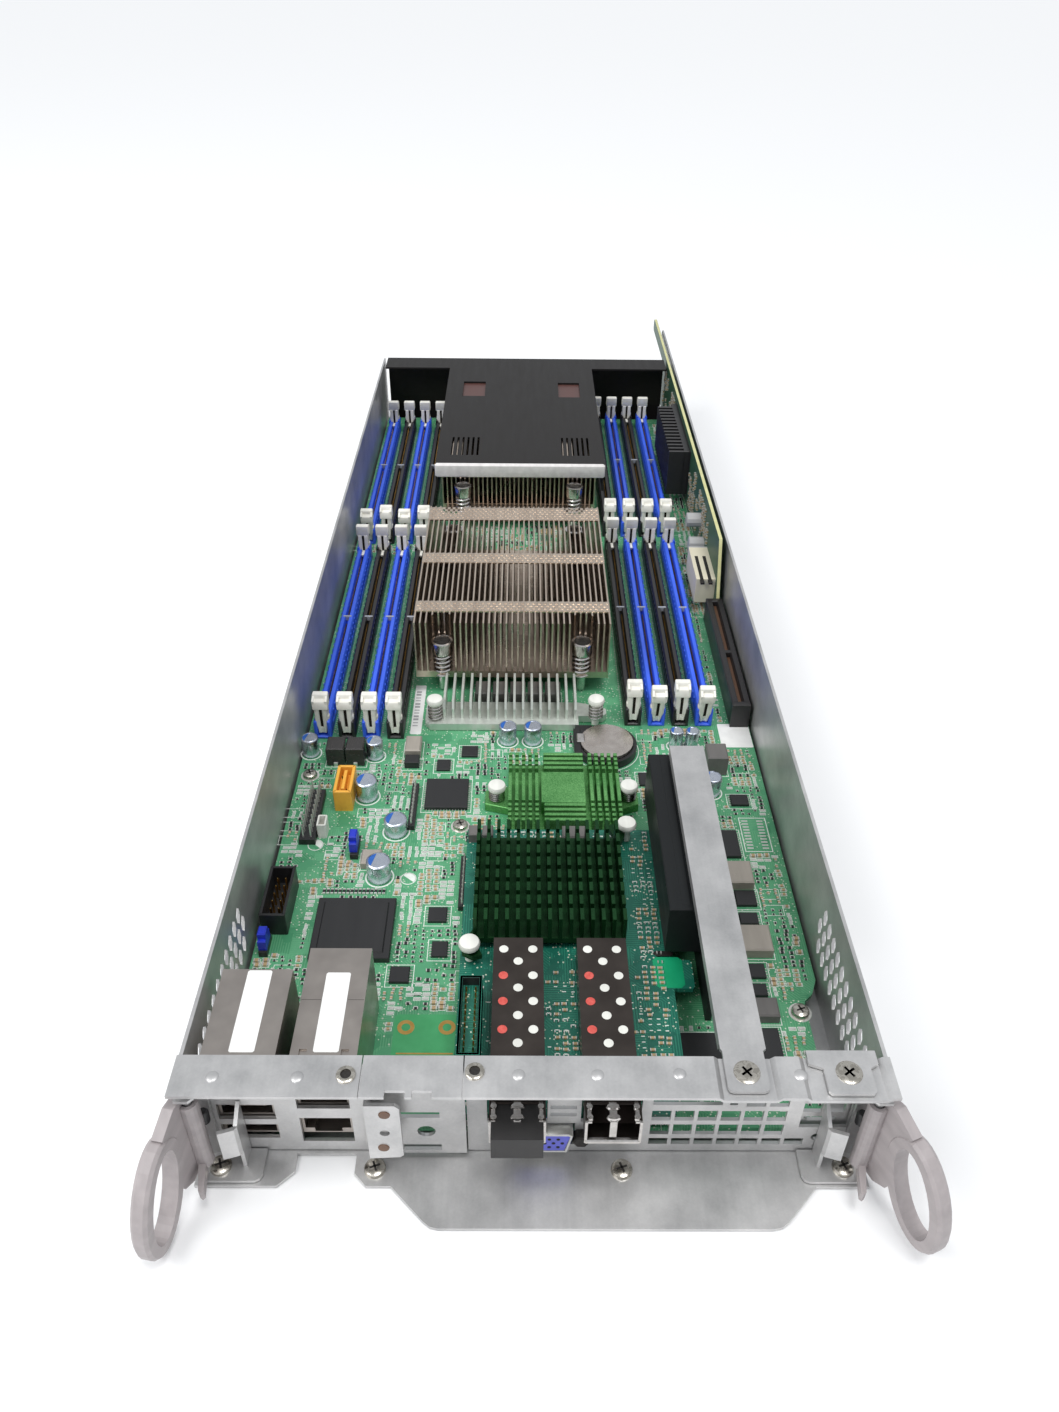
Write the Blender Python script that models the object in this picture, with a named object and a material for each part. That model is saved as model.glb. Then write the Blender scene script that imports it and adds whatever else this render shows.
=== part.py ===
"""Half-width server sled: a bent steel tray with its board, heatsinks, cards, ports and release rings.

Sizes are in millimetres and become metres when a mesh is made.  X runs across the sled, Y runs from
the front panel to the back and Z points up.  The origin lies on the underside of the tray, at
mid-width, below the front edge of the top flange.  The sled is as wide as what stands side by side in
its front panel, as long as what stands one behind the other on its board, and as high as its ports.
"""
import bpy
import bmesh
from math import cos, pi, radians, sin
from mathutils import Matrix, Vector
from mathutils.geometry import tessellate_polygon

for old in list(bpy.data.objects):
    bpy.data.objects.remove(old, do_unlink=True)

MM = 0.001
CLEAR = 0.3                 # clearance between pieces that touch
LAP = 0.5                   # how far soldered or fused shapes run into what carries them

# sheet steel
SHEET = 1.0
TAIL_LENGTH = 58.0          # arm of the right wall behind the floor
TAIL_HEIGHT = 9.0
PANEL_Y = 10.0              # outer face of the front panel
FLANGE_DEPTH = 11.6         # top flange, front edge to rear edge
LIP_TONGUE = 11.2           # tongue of the floor in front of the flange's edge
FINGER_NOTCH = 9.0          # depth of the notch in the floor's front edge
VENT_PITCH_Y = 5.2
VENT_PITCH_Z = 6.2
VENT_LONG = 6.8
VENT_WIDE = 3.4
VENT_COLUMNS = 10
VENT_ROWS = 3
JOGGLE = 1.2                # run of the slope where the flange dips under a screwed foot

# front panel, from the left wall to the right one
SIDE_MARGIN = 4.4           # wall to the first port stack
STACK_WIDTH = 18.8
STACK_GAP = 2.6
LAN_WIDTH = 17.2
BRACKET_GAP = 3.0
BRACKET_WIDTH = 24.6
CAGE_OFFSET = 13.3          # bracket to the left cage's middle
CAGE_PITCH = 24.3
GRID_OFFSET = 10.5          # right cage's middle to the vent grid
GRID_PITCH = 6.0
GRID_COLUMNS = 6
GRID_BAR = 1.0
COVER_OFFSET = 2.9          # vent grid to the expansion opening
COVER_WIDTH = 12.6
COVER_MARGIN = 5.8
HALF = (SIDE_MARGIN + STACK_WIDTH + STACK_GAP + LAN_WIDTH + BRACKET_GAP + BRACKET_WIDTH + CAGE_OFFSET + CAGE_PITCH
        + GRID_OFFSET + GRID_COLUMNS * GRID_PITCH + COVER_OFFSET + COVER_WIDTH + COVER_MARGIN) / 2
INNER = HALF - SHEET
STACK_X0 = SIDE_MARGIN - HALF
STACK_X1 = STACK_X0 + STACK_WIDTH
LAN_X0 = STACK_X1 + STACK_GAP
LAN_X1 = LAN_X0 + LAN_WIDTH
BRACKET_LEFT = LAN_X1 + BRACKET_GAP
BRACKET_RIGHT = BRACKET_LEFT + BRACKET_WIDTH
CAGE_LEFT_X = BRACKET_RIGHT + CAGE_OFFSET
CAGE_RIGHT_X = CAGE_LEFT_X + CAGE_PITCH
GRID_X = CAGE_RIGHT_X + GRID_OFFSET
COVER_X1 = HALF - COVER_MARGIN
COVER_X0 = COVER_X1 - COVER_WIDTH

# heights
STANDOFF = 4.5
STANDOFF_RADIUS = 3.0
BOARD_THICK = 1.8
BOARD_TOP = SHEET + STANDOFF + BOARD_THICK
STACK_HEIGHT = 30.0         # tallest ports, board to roof
LAN_DROP = 4.0              # the network stack is lower
FLANGE_ROOM = 3.6           # port roof to the flange's top face
STACK_TOP = BOARD_TOP + STACK_HEIGHT
FLANGE_TOP = STACK_TOP + FLANGE_ROOM
WALL_TOP = FLANGE_TOP - SHEET - CLEAR
FOOT_LOW = FLANGE_TOP - SHEET + CLEAR      # underside of what is screwed on the dipped flange
CPU_SINK_TOP = FLANGE_TOP - CLEAR
SHROUD_TOP = FLANGE_TOP - 0.7
REAR_SINK_TOP = SHROUD_TOP - SHEET - 0.6   # lower, because the shroud passes over it
ADAPTER_TOP = FLANGE_TOP + 0.7
CARD_STEP = 7.7             # main board to the network card's upper face
CARD_TOP = BOARD_TOP + CARD_STEP
CARD_THICK = 1.6
CARD_CHIP = 2.5             # height of the chip under the card's heatsink
CAGE_HEIGHT = 9.4
CAGE_BOTTOM = CARD_TOP + CLEAR
CAGE_TOP = CAGE_BOTTOM + CAGE_HEIGHT

# depths, from the front panel to the back
STACK_DEPTH = 29.7
LAN_DEPTH = 40.4
CAGE_FRONT = PANEL_Y - 6.0
CAGE_LENGTH = 59.2
NET_SINK_GAP = 4.0
NET_SINK_LENGTH = 42.8
CARD_REST = 9.0             # card behind its heatsink
CHIP_SINK_GAP = 3.0
CHIP_SINK_LENGTH = 36.0
CHIP_SINK_WIDTH = 38.0
VRM_GAP = 24.4
VRM_DEPTH = 14.4
VRM_REACH = 23.6            # the fins reach back over the chokes
VRM_TO_SINK = 25.6
CAGE_BACK = CAGE_FRONT + CAGE_LENGTH
NET_SINK_Y0 = CAGE_BACK + NET_SINK_GAP
NET_SINK_Y1 = NET_SINK_Y0 + NET_SINK_LENGTH
CARD_BACK = NET_SINK_Y1 + CARD_REST
CHIP_SINK_Y0 = CARD_BACK + CHIP_SINK_GAP
VRM_Y0 = CHIP_SINK_Y0 + CHIP_SINK_LENGTH + VRM_GAP
FRONT_SINK_Y = VRM_Y0 + VRM_TO_SINK

# memory sockets and latches
SOCKET_LENGTH = 142.0
SOCKET_WIDTH = 6.4
SOCKET_HEIGHT = 8.2
SOCKET_PITCH = 9.27
SOCKET_SLOT = 1.8
SOCKETS_PER_BANK = 4
BANK_LEAD = 31.1            # front sockets start before the front heatsink
BANK_GAP = 12.6             # front bank to rear bank
BANK_RIGHT_SHIFT = 9.1
TOWER_DEPTH = 6.6
LATCH_SHANK = 3.2
LATCH_CAP = 5.9
LATCH_DEPTH = 5.0
LATCH_SET = 0.2             # latch behind its tower's outer face
LATCH_PIVOT_Y = 4.2
LATCH_PIVOT_Z = 3.7         # above the board
LATCH_TOP = 19.2            # above the board
LATCH_OPEN = 13.0           # degrees, the latches that stand open
BANK_FRONT_Y = FRONT_SINK_Y - BANK_LEAD
BANK_STEP_Y = SOCKET_LENGTH + BANK_GAP

# printed circuit board
BOARD_SIDE = 1.0            # wall to board
BOARD_FRONT = PANEL_Y + SHEET + 2.0
BOARD_REST = 9.4            # board behind the last socket
BOARD_NOTCH = 5.0           # the board is narrower in front of its right shoulder
BOARD_SHOULDER_Y = 60.0
REAR_GAP = 13.0             # floor behind the board
BANK_EDGE_LEFT = 6.2        # board edge to the middle of the outer socket
BANK_EDGE_RIGHT = 17.89     # room for the card slot
EDGE = HALF - SHEET - BOARD_SIDE
BANK_SPAN = (SOCKETS_PER_BANK - 1) * SOCKET_PITCH
BANK_LEFT_X = BANK_EDGE_LEFT - EDGE
BANK_RIGHT_X = EDGE - BANK_EDGE_RIGHT - BANK_SPAN
BANK_RIGHT_Y = BANK_FRONT_Y + BANK_RIGHT_SHIFT
BOARD_BACK = BANK_RIGHT_Y + BANK_STEP_Y + SOCKET_LENGTH + BOARD_REST
FLOOR_LENGTH = BOARD_BACK + REAR_GAP
SLOT_Y0 = BANK_FRONT_Y + 8.6
CARD_SLOT_LENGTH = 78.9
CARD_SLOT_HEIGHT = 11.0
CARD_SLOT_WIDTH = 7.2
CARD_SLOT_MOUTH = 2.4
CARD_SLOT_X = EDGE - 4.0

# processor heatsinks, between the two banks
SINK_ROOM = 14.79           # what the sockets and the air gaps beside a heatsink take
CPU_SINK_LENGTH = 99.5
CPU_SINK_BASE = 3.0
CPU_HEIGHT = 7.4            # processor and its socket, board to heatsink
CPU_HALF = 26.0
FIN_PITCH = 2.262
FIN_THICK = 0.6
SCREW_EDGE_X = 10.75        # heatsink's side to its screws
SCREW_EDGE_Y = 2.75
SCREW_POCKET = 5.0
REAR_FIN_SETBACK = 8.6      # leaves room for the shroud's front lip
BAY_X = (BANK_LEFT_X + BANK_SPAN + BANK_RIGHT_X) / 2
CPU_SINK_WIDTH = BANK_RIGHT_X - BANK_LEFT_X - BANK_SPAN - SINK_ROOM
FRONT_SINK_X = BAY_X - 1.455
REAR_SINK_X = BAY_X + 0.445
REAR_SINK_Y = BANK_FRONT_Y + BANK_STEP_Y + 15.9
FOLD_FRONT = (8.7, 16.2)    # strips that tie the fin tops together
FOLD_MIDDLE = (-2.55, 5.65)  # from the middle of the heatsink
FOLD_REAR = (13.5, 1.5)     # from the heatsink's rear end

# coin cell
CELL_RADIUS = 10.0
CELL_THICK = 3.2
CELL_X = BANK_RIGHT_X - 11.3
CELL_Y = VRM_Y0 - 11.4

# release rings
RING_SPLAY_LEFT = 11.0      # degrees outwards, as the two sprung rings stand
RING_SPLAY_RIGHT = 23.0
RING_LEAN = 24.0            # degrees by which the oval's foot leans forwards
RING_HIGH = 32.4            # long axis of the oval
RING_WIDE = 19.6
RING_BAND = 3.5
RING_THICK = 4.4
RING_EDGE = 0.9
PIVOT_X = HALF - 3.0
PIVOT_Y = 3.8
PIN_RADIUS = 1.2
HUB_RADIUS = 2.5
HUB_LOW = 7.0
HUB_HIGH = FLANGE_TOP - 7.9

# network card, its heatsink and the riser beside it
CARD_X0 = CAGE_LEFT_X - 17.4
CARD_X1 = CAGE_RIGHT_X + 21.2
NET_SINK_X0 = CARD_X0 + 3.9
NET_SINK_X1 = CARD_X1 - 13.3
CAGE_WIDTH = 14.4
CAGE_SHEET = 0.5
PLUG_INSERT = 18.0
RISER_X = CARD_X1 + 9.2
RISER_THICK = 1.6
RISER_Y0 = CAGE_BACK - 16.2
RISER_Y1 = CARD_BACK + 16.0
RISER_TOP = FLANGE_TOP - 2.5
RISER_SOCKET = 11.8         # how far the riser's socket stands out
BAR_X0 = RISER_X - 4.4
BAR_WIDTH = 11.4
BAR_Y1 = RISER_Y1 - 2.6

# video port
VIDEO_X = CAGE_LEFT_X + 6.3
VIDEO_Z = BOARD_TOP + 1.9

# rear adapter card and air shroud
ADAPTER_X = HALF - 4.8
ADAPTER_THICK = 1.6
ADAPTER_FRONT = SLOT_Y0 + CARD_SLOT_LENGTH + 11.6
ADAPTER_NOSE = 10.6         # lower front end, down to just behind the card slot
ADAPTER_BACK = FLOOR_LENGTH + 9.0
ADAPTER_TAIL = 64.0
ADAPTER_SINK_LENGTH = 70.0
ADAPTER_SINK_FINS = 16
ADAPTER_SINK_REACH = 10.8
SHROUD_FRONT = REAR_SINK_Y + REAR_FIN_SETBACK - 2.0
SHROUD_BACK = FLOOR_LENGTH - 0.6
SHROUD_BAND = 16.4
SHROUD_X0 = REAR_SINK_X - CPU_SINK_WIDTH / 2 - 2.85
SHROUD_X1 = REAR_SINK_X + CPU_SINK_WIDTH / 2 + 4.05


def material(name, colour, rough, metal=0.0):
    mat = bpy.data.materials.get(name) or bpy.data.materials.new(name)
    mat.use_nodes = True
    shader = mat.node_tree.nodes["Principled BSDF"]
    shader.inputs["Base Color"].default_value = (*colour, 1.0)
    shader.inputs["Roughness"].default_value = rough
    shader.inputs["Metallic"].default_value = metal
    mat.diffuse_color = (*colour, 1.0)
    return mat


STEEL = material("zinc_plated_steel", (0.62, 0.64, 0.66), 0.38, 1.0)
BRIGHT_STEEL = material("bright_steel", (0.55, 0.52, 0.5), 0.3, 1.0)
FIN_METAL = material("nickel_fins", (0.5, 0.47, 0.44), 0.35, 1.0)
GREY_METAL = material("grey_aluminium", (0.52, 0.56, 0.54), 0.45, 1.0)
BOARD_GREEN = material("board_green", (0.02, 0.22, 0.11), 0.45)
CARD_TEAL = material("card_teal", (0.01, 0.19, 0.14), 0.45)
SINK_GREEN = material("anodised_green", (0.08, 0.33, 0.06), 0.4, 0.7)
SINK_DARK = material("anodised_dark_green", (0.01, 0.09, 0.03), 0.4, 0.6)
BLACK_PLASTIC = material("black_plastic", (0.015, 0.015, 0.017), 0.5)
LATCH_CREAM = material("latch_cream", (0.85, 0.83, 0.76), 0.45)
SHIELD = material("shield_metal", (0.33, 0.3, 0.28), 0.35, 1.0)
VIDEO_BLUE = material("video_port_blue", (0.1, 0.12, 0.55), 0.45)
RING_GREY = material("ring_grey", (0.5, 0.49, 0.5), 0.5)
CELL_STEEL = material("cell_steel", (0.6, 0.58, 0.55), 0.3, 1.0)


def lift(plane, u, v, w):
    """Point (u, v) of a drawing plane at height w along its normal."""
    return {"XY": (u, v, w), "XZ": (u, w, v), "YZ": (w, u, v)}[plane]


def plate(plane, outline, low, high, holes=()):
    """Closed prism of an outline with holes, extruded from low to high along the plane's normal."""
    loops = [list(outline)] + [list(h) for h in holes]
    flat = [point for loop in loops for point in loop]
    tris = tessellate_polygon([[Vector((u, v, 0.0)) for u, v in loop] for loop in loops])
    count = len(flat)
    verts = [lift(plane, u, v, low) for u, v in flat] + [lift(plane, u, v, high) for u, v in flat]
    faces = [tuple(t) for t in tris] + [tuple(i + count for i in t) for t in tris]
    start = 0
    for loop in loops:
        size = len(loop)
        for i in range(size):
            a, b = start + i, start + (i + 1) % size
            faces.append((a, b, b + count, a + count))
        start += size
    return verts, faces


def band(outer, inner, section, plane):
    """Closed ring: a section of (share of the way inwards, height) carried round two outlines of equal count."""
    count, sides = len(outer), len(section)
    verts = []
    for (u0, v0), (u1, v1) in zip(outer, inner):
        for share, height in section:
            verts.append(lift(plane, u0 + (u1 - u0) * share, v0 + (v1 - v0) * share, height))
    faces = []
    for i in range(count):
        for j in range(sides):
            a, b = i * sides + j, i * sides + (j + 1) % sides
            faces.append((a, b, (b + sides) % len(verts), (a + sides) % len(verts)))
    return verts, faces


def rect(u0, v0, u1, v1):
    return [(u0, v0), (u1, v0), (u1, v1), (u0, v1)]


def box(x0, y0, z0, x1, y1, z1):
    return plate("XY", rect(x0, y0, x1, y1), z0, z1)


def disc(u, v, radius, sides=16, turn=0.0):
    step = 2 * pi / sides
    return [(u + radius * cos(turn + i * step), v + radius * sin(turn + i * step)) for i in range(sides)]


def ellipse(u, v, radius_u, radius_v, sides, lean=0.0):
    """Oval whose v axis leans towards -u by an angle."""
    step = 2 * pi / sides
    points = [(radius_u * cos(i * step), radius_v * sin(i * step)) for i in range(sides)]
    return [(u + a * cos(lean) - b * sin(lean), v + a * sin(lean) + b * cos(lean)) for a, b in points]


def diamond(u, v, long_half, wide_half):
    """Elongated hexagon of a stretched vent hole, long along v."""
    waist = long_half * 0.35
    return [(u, v - long_half), (u + wide_half, v - waist), (u + wide_half, v + waist),
            (u, v + long_half), (u - wide_half, v + waist), (u - wide_half, v - waist)]


def joined(solids):
    verts, faces = [], []
    for solid_verts, solid_faces in solids:
        base = len(verts)
        verts += solid_verts
        faces += [tuple(i + base for i in face) for face in solid_faces]
    return verts, faces


def mesh_of(name, solids, origin=(0.0, 0.0, 0.0)):
    verts, faces = joined(solids)
    ox, oy, oz = origin
    mesh = bpy.data.meshes.new(name)
    mesh.from_pydata([((x - ox) * MM, (y - oy) * MM, (z - oz) * MM) for x, y, z in verts], [], faces)
    bm = bmesh.new()
    bm.from_mesh(mesh)
    bmesh.ops.recalc_face_normals(bm, faces=bm.faces)
    bm.to_mesh(mesh)
    bm.free()
    mesh.shade_smooth()
    mesh.set_sharp_from_angle(angle=radians(32))
    return mesh


def operand(name, solids, origin):
    """Hidden helper solid that a Boolean modifier adds or takes away."""
    obj = bpy.data.objects.new(name, mesh_of(name, solids, origin))
    bpy.context.collection.objects.link(obj)
    obj.location = Vector(origin) * MM
    obj.hide_render = True
    obj.display_type = 'WIRE'
    return obj


def piece(name, mat, body, adds=(), cuts=(), origin=(0.0, 0.0, 0.0), inserts=()):
    """One named sub-part: a body, what is fused to it, what is cut out of it, and what stands in the cuts."""
    obj = bpy.data.objects.new(name, mesh_of(name, [body], origin))
    bpy.context.collection.objects.link(obj)
    obj.location = Vector(origin) * MM
    obj.data.materials.append(mat)
    steps = (("adds", "UNION", adds), ("cuts", "DIFFERENCE", cuts), ("inserts", "UNION", inserts))
    for label, kind, solids in steps:
        if not list(solids):
            continue
        mod = obj.modifiers.new(label, 'BOOLEAN')
        mod.operation = kind
        mod.solver = 'EXACT'
        mod.use_self = True
        mod.object = operand(name + "_" + label, list(solids), origin)
    return obj


# Tray.  Standoffs, as (x, y) of the screws through the board.
BOARD_HOLES = [(-EDGE + 4.4, BANK_FRONT_Y - 19.7), (-EDGE + 12.1, CARD_BACK - 0.1), (LAN_X1 + 4.7, CARD_BACK - 15.8),
               (CAGE_LEFT_X - 20.5, CHIP_SINK_Y0 + 7.2), (EDGE - 8.5, BOARD_FRONT + 37.1),
               (-EDGE + 8.0, BANK_FRONT_Y + SOCKET_LENGTH + BANK_GAP / 2),
               (EDGE - 8.0, BANK_RIGHT_Y + SOCKET_LENGTH + BANK_GAP / 2 - 0.3),
               (-EDGE + 8.0, BOARD_BACK - 8.0), (EDGE - 12.0, BOARD_BACK - 5.0)]


def floor_outline():
    """Floor seen from above: tabs, finger notch and tongue along the front edge, then the tail strip."""
    tongue, left, right = -LIP_TONGUE, BRACKET_LEFT, HALF
    front = [(-HALF, 0.0), (-HALF + 21.2, 0.0), (-HALF + 25.4, 4.0), (-HALF + 25.4, FINGER_NOTCH),
             (left - 4.8, FINGER_NOTCH), (left - 4.8, 3.5), (left - 1.5, 0.0), (left + 5.0, 0.0), (left + 9.0, -4.2),
             (left + 14.0, tongue + 1.9), (left + 15.8, tongue + 0.5), (left + 18.0, tongue), (right - 27.0, tongue),
             (right - 24.6, tongue + 0.5), (right - 22.7, tongue + 1.9), (right - 17.0, -3.3), (right - 14.0, 0.0),
             (HALF, 0.0)]
    return front + [(HALF, FLOOR_LENGTH), (-HALF, FLOOR_LENGTH)]


def wall_vents(y0, z0):
    """Rows of stretched holes, long along Z; every second row is shifted by half a pitch."""
    return [diamond(y0 + (i + 0.5 * (row % 2)) * VENT_PITCH_Y, z0 + row * VENT_PITCH_Z,
                    VENT_LONG / 2, VENT_WIDE / 2) for row in range(VENT_ROWS) for i in range(VENT_COLUMNS)]


def sled_tray():
    floor = plate("XY", floor_outline(), 0.0, SHEET)
    front, top, back = PANEL_Y + SHEET + CLEAR, WALL_TOP, FLOOR_LENGTH
    vents = wall_vents(PANEL_Y + 12.0, BOARD_TOP + 7.7)
    left = plate("YZ", rect(front, 0.2, back, top), -HALF, -INNER, vents)
    arm = back + TAIL_LENGTH
    outline = [(front, 0.2), (back, 0.2), (back, top - TAIL_HEIGHT), (arm, top - TAIL_HEIGHT), (arm, top - 2.0),
               (arm - 2.0, top), (front, top)]
    right = plate("YZ", outline, INNER, HALF, vents)
    posts = [plate("XY", disc(x, y, STANDOFF_RADIUS, 12), SHEET - LAP, SHEET + STANDOFF - CLEAR)
             for x, y in BOARD_HOLES]
    piece("sled_tray", STEEL, floor, [left, right] + posts)


# Front panel.
SEAM = 0.3                  # between the bracket and the panel's two parts
PANEL_BOTTOM = SHEET + CLEAR
DIPS = [(BAR_X0 - 0.7, BAR_X0 + BAR_WIDTH + 0.7), (COVER_X0 - 3.0, COVER_X1 + 2.8)]


def flange_line(x0, x1, drop):
    """Points along the flange at a depth below its top face; it dips by its own thickness under screwed feet."""
    height = FLANGE_TOP - drop
    runs = []
    for start, end in DIPS:
        if runs and start - JOGGLE <= runs[-1][1] + JOGGLE:
            runs[-1] = (runs[-1][0], end)
        elif x0 < start < x1:
            runs.append((start, end))
    line = [(x0, height)]
    for start, end in runs:
        line += [(start - JOGGLE, height), (start, height - SHEET)]
        if end < x1:
            line += [(end, height - SHEET), (end + JOGGLE, height)]
    return line + [(x1, line[-1][1])]


def flange(x0, x1):
    outline = flange_line(x0, x1, 0.0) + flange_line(x0, x1, SHEET)[::-1]
    return plate("XZ", outline, 0.0, FLANGE_DEPTH)


def panel_sheet(x0, x1, holes):
    outline = [(x1, PANEL_BOTTOM), (x0, PANEL_BOTTOM)] + flange_line(x0, x1, SHEET * 0.5)
    return plate("XZ", outline, PANEL_Y, PANEL_Y + SHEET, holes)


def front_panel_left():
    x0, x1 = -HALF, BRACKET_LEFT - SEAM
    usb0, usb1, lan0, lan1 = STACK_X0 + 2.3, STACK_X1 - 1.7, LAN_X0 + 1.6, LAN_X1 - 2.0
    holes = [rect(usb0, BOARD_TOP - 0.4, usb1, BOARD_TOP + 5.9), rect(usb0, BOARD_TOP + 8.2, usb1, BOARD_TOP + 14.7),
             rect(usb0 + 0.7, BOARD_TOP + 17.9, usb1 - 0.7, STACK_TOP - 0.9),
             rect(lan0, BOARD_TOP - 1.9, lan1, BOARD_TOP + 8.8), rect(lan0, BOARD_TOP + 13.1, lan1, BOARD_TOP + 23.7)]
    foot = box(x0 + 3.0, PANEL_Y + SHEET * 0.5, PANEL_BOTTOM, x0 + 12.0, PANEL_Y + 9.0, PANEL_BOTTOM + SHEET)
    piece("front_panel_left", STEEL, panel_sheet(x0, x1, holes), [flange(x0, x1), foot])


def front_panel_right():
    x0, x1 = BRACKET_RIGHT + SEAM, HALF
    half_cage = CAGE_WIDTH / 2 + 0.6
    holes = [rect(cx - half_cage, CAGE_BOTTOM - 0.6, cx + half_cage, CAGE_TOP + 0.6)
             for cx in (CAGE_LEFT_X, CAGE_RIGHT_X)]
    holes.append(rect(VIDEO_X - 8.8, VIDEO_Z - 4.9, VIDEO_X + 8.8, VIDEO_Z + 4.9))
    middle = (CAGE_LEFT_X + CAGE_RIGHT_X) / 2
    holes += [rect(middle - 3.6, CAGE_BOTTOM + z, middle + 3.2, CAGE_BOTTOM + z + 1.6) for z in (1.9, 5.1)]
    hole = GRID_PITCH - GRID_BAR
    rows = ((BOARD_TOP - 2.9, 2.8, GRID_COLUMNS + 1), (BOARD_TOP + 1.7, 4.6, GRID_COLUMNS),
            (BOARD_TOP + 8.1, 4.4, GRID_COLUMNS))
    for low, tall, columns in rows:
        for column in range(columns):
            left = GRID_X + GRID_PITCH * column
            holes.append(rect(left, low, left + hole, low + tall))
    pair_x, pair_z, step_z, tall = COVER_X0 - COVER_OFFSET - 2 * GRID_PITCH, CAGE_TOP - 2.9, 6.2, 4.4
    for row in range(int((FLANGE_TOP - SHEET - pair_z + step_z - tall) / step_z)):
        for column in range(2):
            left, low = pair_x + GRID_PITCH * column, pair_z + step_z * row
            holes.append(rect(left, low, left + hole, low + tall))
    slot_z = pair_z + 0.6
    holes.append(rect(GRID_X, slot_z, pair_x - 6.1, slot_z + 4.0))
    holes.append(rect(pair_x - 4.3, slot_z, pair_x - 2.3, slot_z + 4.0))
    holes.append(rect(COVER_X0, BOARD_TOP + 5.1, COVER_X1, FLANGE_TOP - 3.4))
    holes.append(disc(COVER_X0 + 5.5, BOARD_TOP + 0.6, 1.6, 10))
    holes.append(disc(COVER_X0 + 9.4, BOARD_TOP + 0.6, 1.2, 10))
    piece("front_panel_right", STEEL, panel_sheet(x0, x1, holes), [flange(x0, x1)])


def port_bracket():
    """Bent clip bracket: back plate, top flange between the panel parts, and a flap that carries a screw."""
    x0, x1 = BRACKET_LEFT, BRACKET_RIGHT
    back_y = PANEL_Y - 1.5
    slots = [rect(x0 + 8.0, 18.8, x1 - 6.6, 21.2), rect(x0 + 8.0, 3.8, x1 - 6.6, 6.4),
             disc(x0 + 14.3, 12.6, 2.4, 14)]
    back = plate("XZ", rect(x0, 2.4, x1, FLANGE_TOP - SHEET * 0.5), back_y, back_y + SHEET, slots)
    notches = [(x0 + 6.0, 0.0), (x0 + 6.0, 1.8), (x0 + 11.0, 1.8), (x0 + 11.0, 0.0),
               (x0 + 12.6, 0.0), (x0 + 12.6, 1.8), (x0 + 17.4, 1.8), (x0 + 17.4, 0.0)]
    top = plate("XY", [(x0, 0.0)] + notches + [(x1, 0.0), (x1, FLANGE_DEPTH), (x0, FLANGE_DEPTH)],
                FLANGE_TOP - SHEET, FLANGE_TOP)
    flap_y, low, high = 3.0, 9.0, FLANGE_TOP - 8.5
    flap = plate("XZ", [(x0, low), (x0 + 7.9, low + 0.6), (x0 + 8.8, low + 1.6), (x0 + 8.8, high - 1.2),
                        (x0 + 7.6, high), (x0, high)], flap_y, flap_y + SHEET, [disc(x0 + 4.6, 20.6, 1.3, 12)])
    side = plate("YZ", [(flap_y, low), (back_y + SHEET * 0.5, 2.4), (back_y + SHEET * 0.5, high), (flap_y, high)],
                 x0, x0 + SHEET)
    piece("port_bracket", STEEL, back, [top, flap, side])


def slot_cover():
    """Cover of the expansion opening: a perforated plate behind the panel and a tab screwed to the flange."""
    x0, x1 = COVER_X0 - 0.6, COVER_X1 + 0.8
    face_y = PANEL_Y + SHEET + CLEAR + 0.4
    step, hole = (COVER_WIDTH - 0.6) / 2, (COVER_WIDTH - 0.6) / 2 - 1.2
    holes = [rect(x0 + 1.4 + step * c, BOARD_TOP + 9.5 + 4.9 * r,
                  x0 + 1.4 + step * c + hole, BOARD_TOP + 13.3 + 4.9 * r) for c in range(2) for r in range(2)]
    holes.append([(x0 + 2.0, BOARD_TOP + 6.6), (x0 + 3.2, BOARD_TOP + 5.6), (x1 - 4.8, BOARD_TOP + 5.6),
                  (x1 - 3.6, BOARD_TOP + 6.6), (x1 - 3.6, BOARD_TOP + 7.4), (x0 + 2.0, BOARD_TOP + 7.4)])
    face = plate("XZ", rect(x0, BOARD_TOP + 3.3, x1, FOOT_LOW + 0.5), face_y, face_y + SHEET, holes)
    wide_y, back = 9.4, PANEL_Y + 3.2
    tab = plate("XY", [(x0 + 2.6, 1.0), (x1 - 1.4, 1.0), (x1 - 0.6, 1.8), (x1 - 0.6, wide_y - 1.2),
                       (x1 + 1.6, wide_y), (x1 + 1.6, back), (x0 - 1.6, back), (x0 - 1.6, wide_y),
                       (x0 + 1.8, wide_y - 1.2), (x0 + 1.8, 1.8)], FOOT_LOW, FOOT_LOW + SHEET)
    piece("slot_cover", STEEL, face, [tab])


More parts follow.
